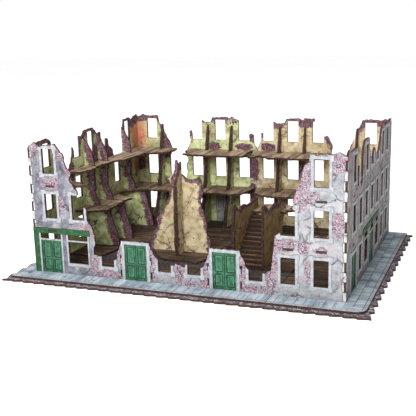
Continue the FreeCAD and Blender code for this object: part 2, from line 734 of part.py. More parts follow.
group("window_trim_front_left",
      trim_on("facade_left", trims("facade_left") + [door_trim("front", 3)] + shop_left_bars)
      + trim_on("left_wall_front", trims("left_wall_front")))
group("window_trim_front_middle",
      trim_on("facade_middle", trims("facade_middle") + [door_trim("front", 6)]))
group("window_trim_front_right",
      trim_on("facade_right", trims("facade_right"))
      + trim_on("right_wall_front", trims("right_wall_front") + [door_trim("side", 1)] + shop_right_bars))
group("window_trim_back_left",
      trim_on("back_wall_left", trims("back_wall_left"))
      + trim_on("left_wall_back", trims("left_wall_back")))
group("window_trim_back_right",
      trim_on("back_wall_right", trims("back_wall_right"))
      + trim_on("right_wall_back", trims("right_wall_back")))

# ---------------------------------------------------------------- shop fascias

fascia_top = shop_head + fascia_height
fascia_left_end = shop_window_middle + shop_window_width / 2 + shop_post + trim
keep(plate("shop_fascia_left", "front", -trim, [
    rectangle(0, shop_head, fascia_left_end, fascia_top),
    rectangle(0, 0, pilaster, shop_head),
], cuts=[slot(across, 0, 1)], thickness="trim"))
fascia_right_start = back(2.5)
keep(plate("shop_fascia_right", "side", length, [
    rectangle(fascia_right_start, shop_head, seam_side - 2 * board, fascia_top),
], cuts=slots(back, [(3, 1), (4, 1)]), thickness="trim"))

# ---------------------------------------------------------------- doors

# the sunk panels of a leaf, as shares of its height
PANEL_SHARES = [(0.08, 0.4), (0.48, 0.92)]


def door(label, plane, offset, middle, width, height):
    """A pair of leaves, each with an upper and a lower sunk panel."""
    leaves = []
    panels = []
    for side in (-1, 1):
        inner = middle + side * door_gap / 2
        outer = middle + side * (width / 2 - fit_gap)
        x0, x1 = sorted((inner, outer))
        leaves.append(rectangle(x0, fit_gap, x1, height - fit_gap))
        for foot, head in PANEL_SHARES:
            panels.append(rectangle(x0 + stile, foot * height, x1 - stile, head * height))
    if plane == "front":
        return keep(plate(label, plane, offset, leaves, thickness="leaf", sockets=(panels, panel_depth)))
    body = plate(label, plane, offset, leaves, thickness="leaf")
    sketch = sketch_on(body, plane, label + "_panels", panels)
    sketch.AttachmentOffset = FreeCAD.Placement(FreeCAD.Vector(0, 0, leaf), FreeCAD.Rotation())
    pocket = body.newObject("PartDesign::Pocket", label + "_panel_pocket")
    pocket.Profile = sketch
    pocket.Length = panel_depth
    return keep(body)


recess = (board - leaf) / 2
door("street_door_left", "front", recess, across(3), door_width, door_height)
door("street_door_middle", "front", recess, across(6), door_width, door_height)
door("shop_door_left", "front", recess, shop_middle, shop_door_width, transom)
door("side_door_right", "side", inner_right + recess, back(1), door_width, door_height)
door("shop_door_right", "side", inner_right + recess, back(4), shop_door_width, transom)
door("interior_door", "front", inner_back + recess, across(3), opening_width, door_height)

# ---------------------------------------------------------------- ribs and room panels

RIB_DEPTHS = [
    (0, 1.16), (0.33, 1.06), (0.5, 0.93), (0.82, 0.74), (1.0, 0.68), (1.25, 0.58), (1.56, 0.48),
    (1.83, 0.4), (2.0, 0.35), (2.19, 0.3), (2.34, 0.22), (2.5, 0.15), (2.63, 0.07), (2.66, 0),
]
PANEL_DEPTHS = [
    (0, 1.25), (0.3, 1.2), (0.6, 1.05), (0.94, 0.93), (0.95, 0.55), (1.15, 0.48), (1.4, 0.32),
    (1.7, 0.36), (1.98, 0.4), (2.1, 0.39), (2.3, 0.33), (2.45, 0.22), (2.6, 0.12), (2.68, 0),
]


def reach(depths, storeys):
    """How far a rib stands out at a height, in millimetres."""
    for (low, near), (high, far) in zip(depths, depths[1:]):
        if low <= storeys <= high:
            return pitch * (near + (far - near) * (storeys - low) / (high - low))
    return 0.0


def rib_outline(name, depths, wall, direction, scale=1.0):
    """Upright stub of a cross wall standing on the floor against a wall's inner face."""
    points = [(wall + direction * pitch * out * scale, up(storeys)) for storeys, out in depths]
    return [(wall, 0)] + torn(name, points)


RIB_COLUMNS = {"ribs_back_left": [0.5, 2.5, 3.5], "ribs_back_right": [5.5, 6.5, 8.5]}
LEFT_PANELS = {"room_panel_near": (3.5, 1.0), "room_panel_middle": (4.5, 1.05), "room_panel_far": (6.5, 1.0)}


def rib_set(label, places):
    """Identical ribs, one at each of the named columns, cut from the same outline."""
    first = plate(label + "_one", "side", 0, [rib_outline(label, RIB_DEPTHS, inner_back, -1)])
    doc.recompute()
    solids = []
    for column in places:
        rib = first.Shape.copy()
        rib.Placement = FreeCAD.Placement(
            FreeCAD.Vector(across(column) - board / 2, 0, 0), FreeCAD.Rotation()
        )
        solids.append(rib)
    return group(label, solids)


for name, places in RIB_COLUMNS.items():
    rib_set(name, places)
for name, (column, scale) in LEFT_PANELS.items():
    keep(plate(name, "front", back(column) - board / 2, [rib_outline(name, PANEL_DEPTHS, board, 1, scale)]))


# room a notch leaves over and under a deck, in storeys, and for the wander of a torn edge
NOTCH_ROOM = 0.02
TORN_ROOM = 1.2


def notch(depths, storeys, column, wall, direction, scale=1.0):
    """Cut in a deck that lets a rib or a room panel pass at the deck's level."""
    half = board / 2 + fit_gap
    low = reach(depths, storeys - board / storey - NOTCH_ROOM) * scale
    high = reach(depths, storeys + NOTCH_ROOM) * scale
    end = wall + direction * (max(low, high) + TORN_ROOM + fit_gap)
    start = wall - direction * fit_gap
    if direction < 0:
        return rectangle(across(column) - half, end, across(column) + half, start)
    return rectangle(start, back(column) - half, end, back(column) + half)


def back_notches(level, places):
    return [notch(RIB_DEPTHS, level, column, inner_back, -1) for column in places]


def left_notches(level, names):
    return [
        notch(PANEL_DEPTHS, level, LEFT_PANELS[name][0], board, 1, LEFT_PANELS[name][1]) for name in names
    ]


# ---------------------------------------------------------------- decks

def tab(side, column):
    """Tongue of a deck that passes through a wall's slot, rooted one board into the deck."""
    half = slot_width / 2 - fit_gap
    if side == "left":
        return rectangle(0, back(column) - half, 2 * board, back(column) + half)
    if side == "right":
        return rectangle(inner_right - board, back(column) - half, length, back(column) + half)
    if side == "front":
        return rectangle(across(column) - half, 0, across(column) + half, 2 * board)
    return rectangle(across(column) - half, inner_back - board, across(column) + half, depth)


def deck(label, level, straight, broken, cuts=(), tabs=()):
    edge = torn(label, broken, bite=2.1, step=3.2)
    return keep(plate(label, "plan", up(level) - board, [straight + edge], cuts=cuts, tabs=tabs))


deck_front = inner_back - deck_depth
ALL_PANELS = list(LEFT_PANELS)

deck("deck_first_left", 1, [(across(1.4), inner_back), (board, inner_back), (board, back(2.6))], [
    (board, back(2.6)), (across(-0.1), back(2.6)), (across(0.45), back(2.98)), (across(0.4), back(3.7)),
    (across(0.33), back(4.4)), (across(0.42), back(5.0)), (across(0), back(5.2)), (across(-0.4), back(5.45)),
    (across(-0.42), back(6.0)), (across(0.2), deck_front - 4), (across(0.5), deck_front + 1),
    (across(1.38), deck_front), (across(1.42), back(6.9)), (across(1.3), back(7.5)),
    (across(1.4), inner_back),
][1:-1], cuts=back_notches(1, [0.5]) + left_notches(1, ALL_PANELS),
    tabs=[tab("left", 3), tab("left", 4), tab("left", 7), tab("back", 0)])
deck("deck_first_middle", 1, [(seam_left - board, inner_back), (across(1.6), inner_back)], [
    (across(1.6), inner_back), (across(1.7), back(7.3)), (across(1.55), back(6.9)),
    (across(1.66), deck_front + 2),
    (across(2.6), deck_front), (across(3.3), deck_front + 1), (across(3.9), deck_front - 2),
    (across(4.2), deck_front + 4), (across(4.35), back(7.0)), (across(4.4), back(7.4)),
    (seam_left - board, inner_back),
][1:-1], cuts=back_notches(1, [2.5, 3.5]),
    tabs=[tab("back", 2), tab("back", 3), tab("back", 4)])
deck("deck_second_left", 2, [(across(1.1), inner_back), (board, inner_back), (board, back(2.25))], [
    (board, back(2.25)), (across(-0.15), back(2.28)), (across(-0.05), back(2.9)), (across(-0.12), back(3.6)),
    (across(-0.1), back(4.6)), (across(0.22), back(5.0)), (across(0.27), back(5.9)),
    (across(0.35), deck_front),
    (across(0.9), deck_front + 8), (across(1.1), deck_front + 14), (across(1.18), back(7.5)),
    (across(1.1), inner_back),
][1:-1], cuts=back_notches(2, [0.5]) + left_notches(2, ALL_PANELS),
    tabs=[tab("left", 3), tab("left", 4), tab("left", 5), tab("left", 7), tab("back", 0)])
deck("deck_second_middle", 2, [(seam_left - 2 * board, inner_back), (across(1.6), inner_back)], [
    (across(1.6), inner_back), (across(1.72), back(7.3)), (across(2.0), back(6.95)),
    (across(1.85), back(6.72)),
    (across(2.1), deck_front), (across(3.0), deck_front - 1), (across(4.0), deck_front),
    (across(4.4), deck_front + 3), (across(4.42), back(7.0)), (across(4.3), back(7.4)),
    (seam_left - 2 * board, inner_back),
][1:-1], cuts=back_notches(2, [2.5, 3.5]),
    tabs=[tab("back", 2), tab("back", 3), tab("back", 4)])
deck("deck_first_right", 1, [(inner_right, inner_back), (seam_left + board, inner_back)], [
    (seam_left + board, inner_back), (across(4.6), back(7.4)), (across(4.7), back(7.0)),
    (across(5.05), deck_front + 4), (across(5.7), deck_front - 1), (across(6.6), deck_front + 2),
    (across(8.0), deck_front), (across(9.0), deck_front + 3), (inner_right, deck_front + 2),
][1:], cuts=back_notches(1, [5.5, 6.5, 8.5]),
    tabs=[tab("back", column) for column in range(5, 10)] + [tab("right", 7)])
deck("deck_second_right", 2, [(across(7.5), inner_back), (seam_left + board, inner_back)], [
    (seam_left + board, inner_back), (across(4.65), back(7.2)), (across(4.75), back(6.9)),
    (across(4.62), deck_front - 1), (across(4.85), deck_front - 3), (across(4.95), back(6.9)),
    (across(5.3), deck_front + 5), (across(5.5), deck_front - 6), (across(5.8), deck_front + 2),
    (across(6.3), deck_front - 4), (across(6.8), deck_front + 1), (across(7.2), deck_front + 8),
    (across(7.45), back(7.1)), (across(7.4), back(7.5)), (across(7.5), inner_back),
][1:-1], cuts=back_notches(2, [5.5, 6.5]),
    tabs=[tab("back", column) for column in range(5, 8)])
deck("deck_first_front_left", 1, [(board, back(1.8)), (board, board), (across(0.55), board)], [
    (across(0.55), board), (across(0.6), back(0.6)), (across(0.35), back(0.9)), (across(0.52), back(1.2)),
    (across(0.3), back(1.4)), (across(0.5), back(1.6)), (across(0), back(1.7)), (board, back(1.8)),
][1:-1], tabs=[tab("front", 0), tab("left", 1)])
deck("deck_second_front_left", 2, [(board, back(1.3)), (board, board), (across(0.62), board)], [
    (across(0.62), board), (across(0.8), board + 4), (across(1.35), board + 6), (across(1.0), back(0.3)),
    (across(1.18), back(0.42)), (across(0.75), back(0.5)), (across(0.85), back(0.66)),
    (across(0.4), back(0.75)),
    (across(0.1), back(1.2)), (board, back(1.3)),
][1:-1], tabs=[tab("front", 0), tab("left", 1)])
deck("deck_first_front_right", 1, [(across(7.65), board), (inner_right, board), (inner_right, back(5.2))], [
    (inner_right, back(5.2)), (across(9.4), back(5.1)), (across(9.2), back(4.5)), (across(9.35), back(3.8)),
    (across(9.15), back(3.2)), (across(9.3), back(2.5)), (across(9.05), back(1.9)), (across(8.7), back(1.45)),
    (across(8.45), back(1.6)), (across(8.2), back(1.3)), (across(7.95), back(1.45)), (across(7.7), back(1.2)),
    (across(7.8), back(0.7)), (across(7.65), board),
][1:-1], tabs=[tab("front", 8), tab("front", 9)] + [tab("right", column) for column in range(1, 5)])
deck("deck_second_front_right", 2, [(across(8.5), board), (inner_right, board), (inner_right, back(1.45))], [
    (inner_right, back(1.45)), (across(9.3), back(1.5)), (across(9.0), back(1.2)), (across(8.7), back(0.9)),
    (across(8.75), back(0.5)), (across(8.5), board),
][1:-1], tabs=[tab("front", 9), tab("right", 1)])

# ---------------------------------------------------------------- the cross partition

PARTITION = [
    (1.88, 0), (1.88, 0.2), (2.0, 0.33), (1.93, 0.41), (2.14, 0.52), (2.19, 0.63), (2.14, 0.77),
    (2.26, 0.86), (2.42, 0.97), (2.53, 1.14), (2.58, 1.22), (2.67, 1.33), (2.77, 1.66), (2.77, 1.78),
    (2.88, 1.89), (2.95, 2.22), (3.02, 2.23), (3.07, 2.14), (3.09, 1.95), (3.26, 1.86), (3.4, 1.77),
    (3.6, 1.77), (3.79, 1.84), (3.91, 1.75), (3.93, 1.63), (3.98, 1.45), (3.86, 1.28), (4.0, 0.92),
    (4.09, 0.73), (4.07, 0.48), (4.21, 0.33), (4.21, 0.19), (4.14, 0),
]
FIN = [
    (2.84, 0), (2.74, 0.33), (2.81, 0.6), (2.77, 0.94), (2.84, 1.25), (2.81, 1.56), (2.88, 1.75),
    (3.09, 1.88), (3.26, 2.06), (3.42, 2.17),
]
partition_front = back(3.5) - board / 2
fin_column = 3.16
keep(plate("partition_panel", "front", partition_front, [
    torn("partition", [(across(column), up(storeys)) for column, storeys in PARTITION])
]))
keep(plate("partition_fin", "side", across(fin_column) - board / 2, [
    [(partition_front, 0)] + torn("fin", [(back(column), up(storeys)) for column, storeys in FIN])
    + [(partition_front, up(2.2))]
]))

# ---------------------------------------------------------------- staircase

STAIR_LEFT = [
    (2.26, 0), (2.23, 0.69), (2.21, 1.09), (2.28, 1.41), (2.44, 1.42), (2.7, 1.28), (2.88, 1.2),
    (3.12, 1.28), (3.4, 1.27), (3.81, 1.2), (4.19, 1.2), (4.47, 1.25), (4.86, 1.22), (4.98, 0.94),
    (4.88, 0.62), (5.02, 0.31), (5.07, 0),
]
STAIR_RIGHT = [
    (2.28, 0), (2.3, 0.72), (2.33, 1.41), (2.56, 1.42), (2.81, 1.3), (3.0, 1.19), (3.3, 1.25),
    (3.77, 1.3), (4.14, 1.2), (4.42, 1.25), (4.72, 1.19), (4.93, 1.03), (4.79, 0.89), (4.65, 0.69),
    (4.53, 0.42), (4.42, 0.19), (4.42, 0),
]
stair_left = across(5.5) + board / 2
stair_right = across(6.5) - board / 2
step_rise = storey / steps
stair_foot = back(2.3)
stair_top = stair_foot + (steps - 1) * stair_run
carriage_width = stair_right - stair_left - 2 * fit_gap

keep(plate("stair_wall_left", "side", across(5.5) - board / 2, [
    torn("stair left", [(back(column), up(storeys)) for column, storeys in STAIR_LEFT])
]))
keep(plate("stair_wall_right", "side", across(6.5) - board / 2, [
    torn("stair right", [(back(column), up(storeys)) for column, storeys in STAIR_RIGHT])
]))


def stepped_profile():
    """Side of the carriage: stepped on top for the treads, sloping below."""
    points = []
    for step in range(steps - 1):
        y = stair_foot + step * stair_run
        top = (step + 1) * step_rise - tread
        points.append((y, top - step_rise if step else 0))
        points.append((y, top))
    points.append((stair_top, (steps - 1) * step_rise - tread))
    points.append((stair_top, (steps - 1) * step_rise - tread - 2 * step_rise))
    points.append((stair_foot + 2 * stair_run, 0))
    return points


carriage = doc.addObject("Part::Feature", "stair_carriage")
carriage_corners = [FreeCAD.Vector(0, y, z) for y, z in stepped_profile()]
carriage_side = Part.Face(Part.makePolygon(carriage_corners + carriage_corners[:1]))
carriage.Shape = carriage_side.extrude(FreeCAD.Vector(carriage_width, 0, 0))
carriage.Placement = place(stair_left + fit_gap, 0, 0)
keep(carriage)

treads = []
for step in range(steps - 1):
    corner = (stair_left + fit_gap, stair_foot + step * stair_run - nosing, (step + 1) * step_rise - tread)
    treads.append(Part.makeBox(
        carriage_width, stair_run + nosing - fit_gap, tread, FreeCAD.Vector(*corner)
    ))
group("stair_treads", treads)
wall_end = back(4.93) + 2 * board
keep(plate("stair_landing", "plan", up(1) - board, [
    [(stair_left + fit_gap, stair_top + fit_gap), (stair_right - fit_gap, stair_top + fit_gap)]
    + [(stair_right - fit_gap, wall_end), (stair_right + board + fit_gap, wall_end)]
    + torn("landing", [
        (stair_right + board + fit_gap, back(4.3)), (across(6.8), back(4.2)), (across(6.65), back(4.5)),
        (across(7.0), back(4.6)), (across(6.75), back(4.85)), (across(6.95), back(5.15)),
        (across(6.6), back(5.3)),
        (across(6.2), back(5.2)), (across(5.9), back(5.35)), (stair_left + fit_gap, back(5.2)),
    ], bite=1.6)
]))

# ---------------------------------------------------------------- check and export

doc.recompute()
for feature in doc.Objects:
    if "Invalid" in feature.State or "Error" in feature.State:
        raise RuntimeError(f"{feature.Label} failed: {feature.State}")
for part in PARTS:
    if part.Shape.isNull() or not part.Shape.isValid() or not part.Shape.Solids:
        raise RuntimeError(f"{part.Label} has no valid solid")

os.makedirs("parts", exist_ok=True)
for part in PARTS:
    part.Shape.exportStep(f"parts/{part.Label}.step")
    box = part.Shape.BoundBox
    print(part.Label, len(part.Shape.Solids), "solids", round(part.Shape.Volume), "mm3",
          [round(v, 1) for v in (box.XMin, box.YMin, box.ZMin, box.XMax, box.YMax, box.ZMax)])
print(len(PARTS), "nodes")
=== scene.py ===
import bpy
import math
from mathutils import Matrix, Vector


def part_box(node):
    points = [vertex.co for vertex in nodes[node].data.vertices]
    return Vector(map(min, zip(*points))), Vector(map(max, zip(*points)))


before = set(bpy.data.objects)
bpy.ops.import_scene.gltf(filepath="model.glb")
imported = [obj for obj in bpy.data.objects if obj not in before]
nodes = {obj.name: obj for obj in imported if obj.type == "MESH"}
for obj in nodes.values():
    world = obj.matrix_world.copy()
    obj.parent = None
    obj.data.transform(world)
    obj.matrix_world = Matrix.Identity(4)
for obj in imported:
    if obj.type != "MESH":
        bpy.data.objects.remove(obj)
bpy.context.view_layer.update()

MM = 0.001

# ---------------------------------------------------------------- places in the frame, in mm

# outer faces of the building and the pavement's top, read off the CAD walls
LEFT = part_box("left_wall_front")[0][0] / MM
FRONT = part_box("facade_left")[0][1] / MM
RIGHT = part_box("right_wall_front")[1][0] / MM
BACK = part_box("back_wall_left")[1][1] / MM
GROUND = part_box("facade_left")[0][2] / MM
PAVED = [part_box("pavement_front_left")[0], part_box("pavement_front_right")[1]]
STOREY = (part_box("deck_second_left")[1][2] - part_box("deck_first_left")[1][2]) / MM
inner_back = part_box("back_wall_left")[0][1] / MM
inner_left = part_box("left_wall_front")[1][0] / MM
partition_middle = sum(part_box("partition_panel")[end][0] for end in (0, 1)) / 2 / MM
stair_middle = sum(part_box("stair_wall_left")[end][1] for end in (0, 1)) / 2 / MM
paper_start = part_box("back_wall_right")[0][0] / MM - LEFT

# printed details: corner stones, paving slabs, kerb stones, cobbles and door panels
QUOIN = STOREY / 5
QUOIN_SHORT = 4.6
QUOIN_LONGER = 1.2
SLAB = 12.4
KERB = 5.0
KERB_STONE = 16.0
COBBLE = 3.6
DOOR_STILE = 3.1
# foot and head of a leaf's panels, as shares of its height
DOOR_PANELS = ((0.08, 0.4), (0.48, 0.92))

# spans that the outline curves are read over: along a wall, up a wall, and out from a wall
LONGEST = 460.0
TALLEST = 200.0
DEEPEST = 100.0

UP = (0, 0, 1)
# the way across a board that runs along the axis
ACROSS = {"x": (0, 1, 0), "y": (1, 0, 0)}


# ---------------------------------------------------------------- node writing

def linear(colour):
    """0 to 255 screen values to scene-linear."""
    return tuple((c / 255 / 12.92) if c < 11 else ((c / 255 + 0.055) / 1.055) ** 2.4 for c in colour)


class Paint:
    """A material's node tree. Positions and lengths inside it are in millimetres."""

    def __init__(self, name):
        self.material = bpy.data.materials.new(name)
        self.material.use_nodes = True
        self.tree = self.material.node_tree
        self.shader = self.tree.nodes["Principled BSDF"]
        coordinates = self.tree.nodes.new("ShaderNodeTexCoord")
        self.normal = coordinates.outputs["Normal"]
        self.place = self.vector("SCALE", coordinates.outputs["Object"], scale=1 / MM)
        split = self.tree.nodes.new("ShaderNodeSeparateXYZ")
        self.tree.links.new(self.place, split.inputs[0])
        self.x, self.y, self.z = split.outputs

    def put(self, socket, value):
        if isinstance(value, bpy.types.NodeSocket):
            self.tree.links.new(value, socket)
        else:
            socket.default_value = value

    def math(self, operation, a, b=0.0, c=0.0, clamp=False):
        node = self.tree.nodes.new("ShaderNodeMath")
        node.operation = operation
        node.use_clamp = clamp
        for socket, value in zip(node.inputs, (a, b, c)):
            self.put(socket, value)
        return node.outputs[0]

    def plus(self, a, b):
        return self.math("ADD", a, b)

    def minus(self, a, b):
        return self.math("SUBTRACT", a, b)

    def times(self, a, b):
        return self.math("MULTIPLY", a, b)

    def over(self, a, b):
        return self.math("DIVIDE", a, b)

    def larger(self, a, b):
        return self.math("MAXIMUM", a, b)

    def smaller(self, a, b):
        return self.math("MINIMUM", a, b)

    def size_of(self, value):
        return self.math("ABSOLUTE", value)

    def along(self, run):
        """The coordinate along the axis that run names."""
        return self.x if run == "x" else self.y

    def vector(self, operation, a, b=None, scale=None):
        node = self.tree.nodes.new("ShaderNodeVectorMath")
        node.operation = operation
        self.put(node.inputs[0], a)
        if b is not None:
            self.put(node.inputs[1], b)
        if scale is not None:
            self.put(node.inputs["Scale"], scale)
        return node.outputs["Value"] if operation == "DOT_PRODUCT" else node.outputs["Vector"]

    def combine(self, x=0.0, y=0.0, z=0.0):
        node = self.tree.nodes.new("ShaderNodeCombineXYZ")
        for socket, value in zip(node.inputs, (x, y, z)):
            self.put(socket, value)
        return node.outputs[0]

    def channel(self, colour):
        """The first channel of a colour."""
        node = self.tree.nodes.new("ShaderNodeSeparateColor")
        self.put(node.inputs[0], colour)
        return node.outputs[0]

    def random(self, place):
        """A random value for each different place."""
        node = self.tree.nodes.new("ShaderNodeTexWhiteNoise")
        self.put(node.inputs["Vector"], place)
        return node.outputs["Value"]

    def noise(self, size, detail=5, rough=0.7, at=None, shift=0.0):
        """Fractal noise whose blobs are about size millimetres across."""
        node = self.tree.nodes.new("ShaderNodeTexNoise")
        place = self.place if at is None else at
        if shift:
            place = self.vector("ADD", place, (shift, shift * 0.7, shift * 1.3))
        self.put(node.inputs["Vector"], place)
        node.inputs["Scale"].default_value = 1 / size
        node.inputs["Detail"].default_value = detail
        node.inputs["Roughness"].default_value = rough
        return node.outputs[0]

    def cells(self, size, at=None, feature="F1", output="Distance"):
        """Cells about size millimetres across."""
        node = self.tree.nodes.new("ShaderNodeTexVoronoi")
        node.feature = feature
        self.put(node.inputs["Vector"], self.place if at is None else at)
        node.inputs["Scale"].default_value = 1 / size
        return node.outputs[output]

    def bricks(self, at, width, height, mortar, offset=0.5):
        """(mortar mask, random grey per brick) of a course pattern on the plane given by at."""
        node = self.tree.nodes.new("ShaderNodeTexBrick")
        node.offset = offset
        self.put(node.inputs["Vector"], at)
        node.inputs["Scale"].default_value = 1
        node.inputs["Brick Width"].default_value = width
        node.inputs["Row Height"].default_value = height
        node.inputs["Mortar Size"].default_value = mortar
        node.inputs["Mortar Smooth"].default_value = 0.3
        node.inputs["Color1"].default_value = (0, 0, 0, 1)
        node.inputs["Color2"].default_value = (1, 1, 1, 1)
        node.inputs["Mortar"].default_value = (0.5, 0.5, 0.5, 1)
        return node.outputs["Fac"], node.outputs["Color"]

    def between(self, value, low, high):
        """0 below low, 1 above high, straight in between."""
        node = self.tree.nodes.new("ShaderNodeMapRange")
        node.clamp = True
        self.put(node.inputs["Value"], value)
        self.put(node.inputs["From Min"], low)
        self.put(node.inputs["From Max"], high)
        return node.outputs["Result"]

    def ramp(self, value, stops):
        """Colour at value between the stops, which are (position, colour)."""
        node = self.tree.nodes.new("ShaderNodeValToRGB")
        self.put(node.inputs[0], value)
        elements = node.color_ramp.elements
        while len(elements) < len(stops):
            elements.new(0.5)
        for element, (position, colour) in zip(elements, stops):
            element.position = position
            element.color = (*linear(colour), 1)
        return node.outputs[0]

    def mix(self, share, a, b, blend="MIX"):
        node = self.tree.nodes.new("ShaderNodeMix")
        node.data_type = "RGBA"
        node.blend_type = blend
        self.put(node.inputs["Factor"], share)
        for index, value in ((6, a), (7, b)):
            if isinstance(value, tuple):
                value = (*linear(value), 1)
            self.put(node.inputs[index], value)
        return node.outputs[2]

    def curve(self, value, points, in_span, out_span):
        """Broken line through the points, read at value. Both coordinates start from 0."""
        node = self.tree.nodes.new("ShaderNodeFloatCurve")
        self.put(node.inputs["Value"], self.over(value, in_span))
        line = node.mapping.curves[0]
        for _ in range(len(points) - len(line.points)):
            line.points.new(0.5, 0.5)
        for point, (x, y) in zip(line.points, points):
            point.location = (x / in_span, y / out_span)
            point.handle_type = "VECTOR"
        node.mapping.update()
        return self.times(node.outputs[0], out_span)

    def near_edge(self, radius):
        """1 at a cut edge, falling to 0 about radius inside it."""
        bevel = self.tree.nodes.new("ShaderNodeBevel")
        bevel.samples = 6
        bevel.inputs["Radius"].default_value = radius * MM
        true = self.tree.nodes.new("ShaderNodeNewGeometry").outputs["True Normal"]
        return self.between(self.vector("DOT_PRODUCT", bevel.outputs[0], true), 0.995, 0.86)

    def finish(self, colour, bump=None, rough=0.75, height=0.4, sheen=0.25):
        """The material, with colour, roughness and a shallow relief of that height."""
        self.put(self.shader.inputs["Base Color"], colour)
        self.put(self.shader.inputs["Roughness"], rough)
        self.shader.inputs["Specular IOR Level"].default_value = sheen
        if bump is not None:
            node = self.tree.nodes.new("ShaderNodeBump")
            node.inputs["Strength"].default_value = height
            node.inputs["Distance"].default_value = 0.4 * MM
            self.put(node.inputs["Height"], bump)
            self.tree.links.new(node.outputs[0], self.shader.inputs["Normal"])
        return self.material


# ---------------------------------------------------------------- colours, as 0 to 255 screen values

CHAR = (38, 26, 22)
SCORCH = (112, 66, 40)
SOOT = (46, 40, 30)
GRIME = (104, 100, 106)
ROSE = (164, 136, 138)
# painted shade: the blue grey that darkens the street side towards its corner
SHADE_BLUE = (142, 134, 158)
ORANGE = (186, 98, 78)
DAMP = (120, 78, 72)
RUSTY_DAMP = (150, 74, 62)
WALLPAPER_INK = (96, 76, 44)
STONE_JOINT = (60, 54, 56)
STREET_CRACK = (58, 46, 48)
ROOM_CRACK = (58, 44, 34)
UNTINTED = (250, 250, 250)

STREET_BRICK = [
    (0.3, (52, 48, 60)), (0.4, (142, 80, 94)), (0.48, (162, 148, 156)), (0.56, (94, 106, 122)),
    (0.64, (176, 174, 180)), (0.74, (154, 108, 118)), (0.84, (196, 195, 198)),
]
ROOM_BRICK = [
    (0.3, (30, 24, 30)), (0.4, (126, 52, 62)), (0.48, (74, 66, 74)), (0.56, (60, 74, 86)),
    (0.64, (134, 112, 120)), (0.74, (136, 64, 76)), (0.84, (180, 168, 174)),
]
OUTSIDE = [
    (0.3, (104, 105, 110)), (0.41, (138, 139, 143)), (0.5, (162, 163, 165)), (0.6, (178, 179, 179)),
    (0.75, (192, 193, 190)),
]
QUOIN_STONE = [(0.3, (140, 140, 144)), (0.5, (176, 176, 178)), (0.75, (202, 201, 200))]
GREEN = [
    (0.28, (100, 106, 60)), (0.4, (152, 160, 104)), (0.5, (188, 194, 142)), (0.6, (208, 212, 166)),
    (0.75, (226, 228, 192)),
]
TAN = [
    (0.28, (120, 102, 74)), (0.4, (170, 150, 114)), (0.5, (206, 190, 152)), (0.62, (226, 214, 180)),
    (0.78, (238, 230, 204)),
]
FLOOR_TONES = [
    (0.3, (30, 21, 15)), (0.45, (56, 41, 30)), (0.57, (80, 60, 44)), (0.7, (106, 83, 63)),
    (0.85, (136, 112, 88)),
]
DECK_TONES = [
    (0.3, (82, 66, 52)), (0.45, (124, 102, 82)), (0.57, (154, 132, 108)), (0.7, (178, 156, 130)),
    (0.85, (198, 178, 152)),
]
TREAD_TONES = [(0.3, (50, 33, 22)), (0.5, (92, 66, 46)), (0.7, (132, 102, 76)), (0.85, (168, 140, 110))]
CARRIAGE_TONES = [(0.3, (26, 19, 16)), (0.6, (52, 38, 30)), (0.8, (70, 52, 40))]
SLAB_TONES = [
    (0.3, (92, 104, 114)), (0.45, (124, 136, 146)), (0.56, (148, 160, 168)), (0.68, (172, 182, 188)),
    (0.85, (204, 208, 208)),
]
KERB_TONES = [(0.3, (96, 98, 104)), (0.55, (146, 148, 152)), (0.8, (186, 184, 184))]
COBBLE_TONES = [
    (0.25, (64, 60, 72)), (0.42, (104, 100, 114)), (0.54, (134, 130, 142)), (0.66, (158, 154, 162)),
    (0.82, (190, 186, 188)),
]
WHITE_PAINT = [
    (0.3, (112, 113, 122)), (0.45, (142, 144, 150)), (0.58, (164, 167, 170)), (0.8, (184, 186, 188)),
]
FASCIA_PAINT = [(0.3, (16, 42, 22)), (0.45, (26, 66, 38)), (0.6, (44, 92, 54)), (0.8, (82, 126, 88))]
DOOR_GREEN = [
    (0.3, (16, 42, 28)), (0.42, (28, 66, 44)), (0.52, (44, 92, 66)), (0.62, (62, 116, 90)),
    (0.78, (106, 158, 132)),
]
DOOR_GREY = [(0.3, (96, 96, 102)), (0.5, (158, 158, 162)), (0.75, (196, 196, 196))]


# ---------------------------------------------------------------- what the prints share

def wall_plane(paint, run):
    """Wall coordinates as a texture place: along the wall, then up."""
    return paint.combine(paint.along(run), paint.z, 0.0)


def face_mask(paint, direction):
    """1 on faces that look along the direction."""
    return paint.between(paint.vector("DOT_PRODUCT", paint.normal, direction), 0.6, 0.8)


def shares(paint, a, share_a, b, share_b):
    """The two values added in those shares."""
    return paint.plus(paint.times(a, share_a), paint.times(b, share_b))


def wander(paint, size, shift, swing):
    """Noise that strays evenly to both sides of zero, by half the swing at most."""
    return paint.times(paint.minus(paint.noise(size, shift=shift), 0.5), swing)


def stained(paint, colour, stain, share, patches, low, high):
    """The colour with stained patches: none where patches is below low, the full share above high."""
    return paint.mix(paint.times(paint.between(patches, low, high), share), colour, stain)


def burnt(paint):
    """The laser-cut edge: near black with scorched brown streaks."""
    streaks = paint.noise(2.2, 3, shift=9)
    return paint.ramp(streaks, [(0.35, CHAR), (0.55, (62, 42, 32)), (0.72, SCORCH)])


def charred(paint, colour, radius, share=0.8, edge=CHAR):
    """The colour darkened along cut edges, up to radius inside them."""
    return paint.mix(paint.times(paint.near_edge(radius), share), colour, edge)


def faced(paint, sides, direction):
    """The print on the board's two faces, and the burnt edge all round between them."""
    opposite = tuple(-part for part in direction)
    faces = paint.larger(face_mask(paint, direction), face_mask(paint, opposite))
    return paint.mix(faces, burnt(paint), sides)


def board_relief(paint, mortar):
    """Grain of the board, with the mortar of its brick print a little lower."""
    return paint.plus(paint.noise(0.9, 3), paint.times(mortar, -0.5))


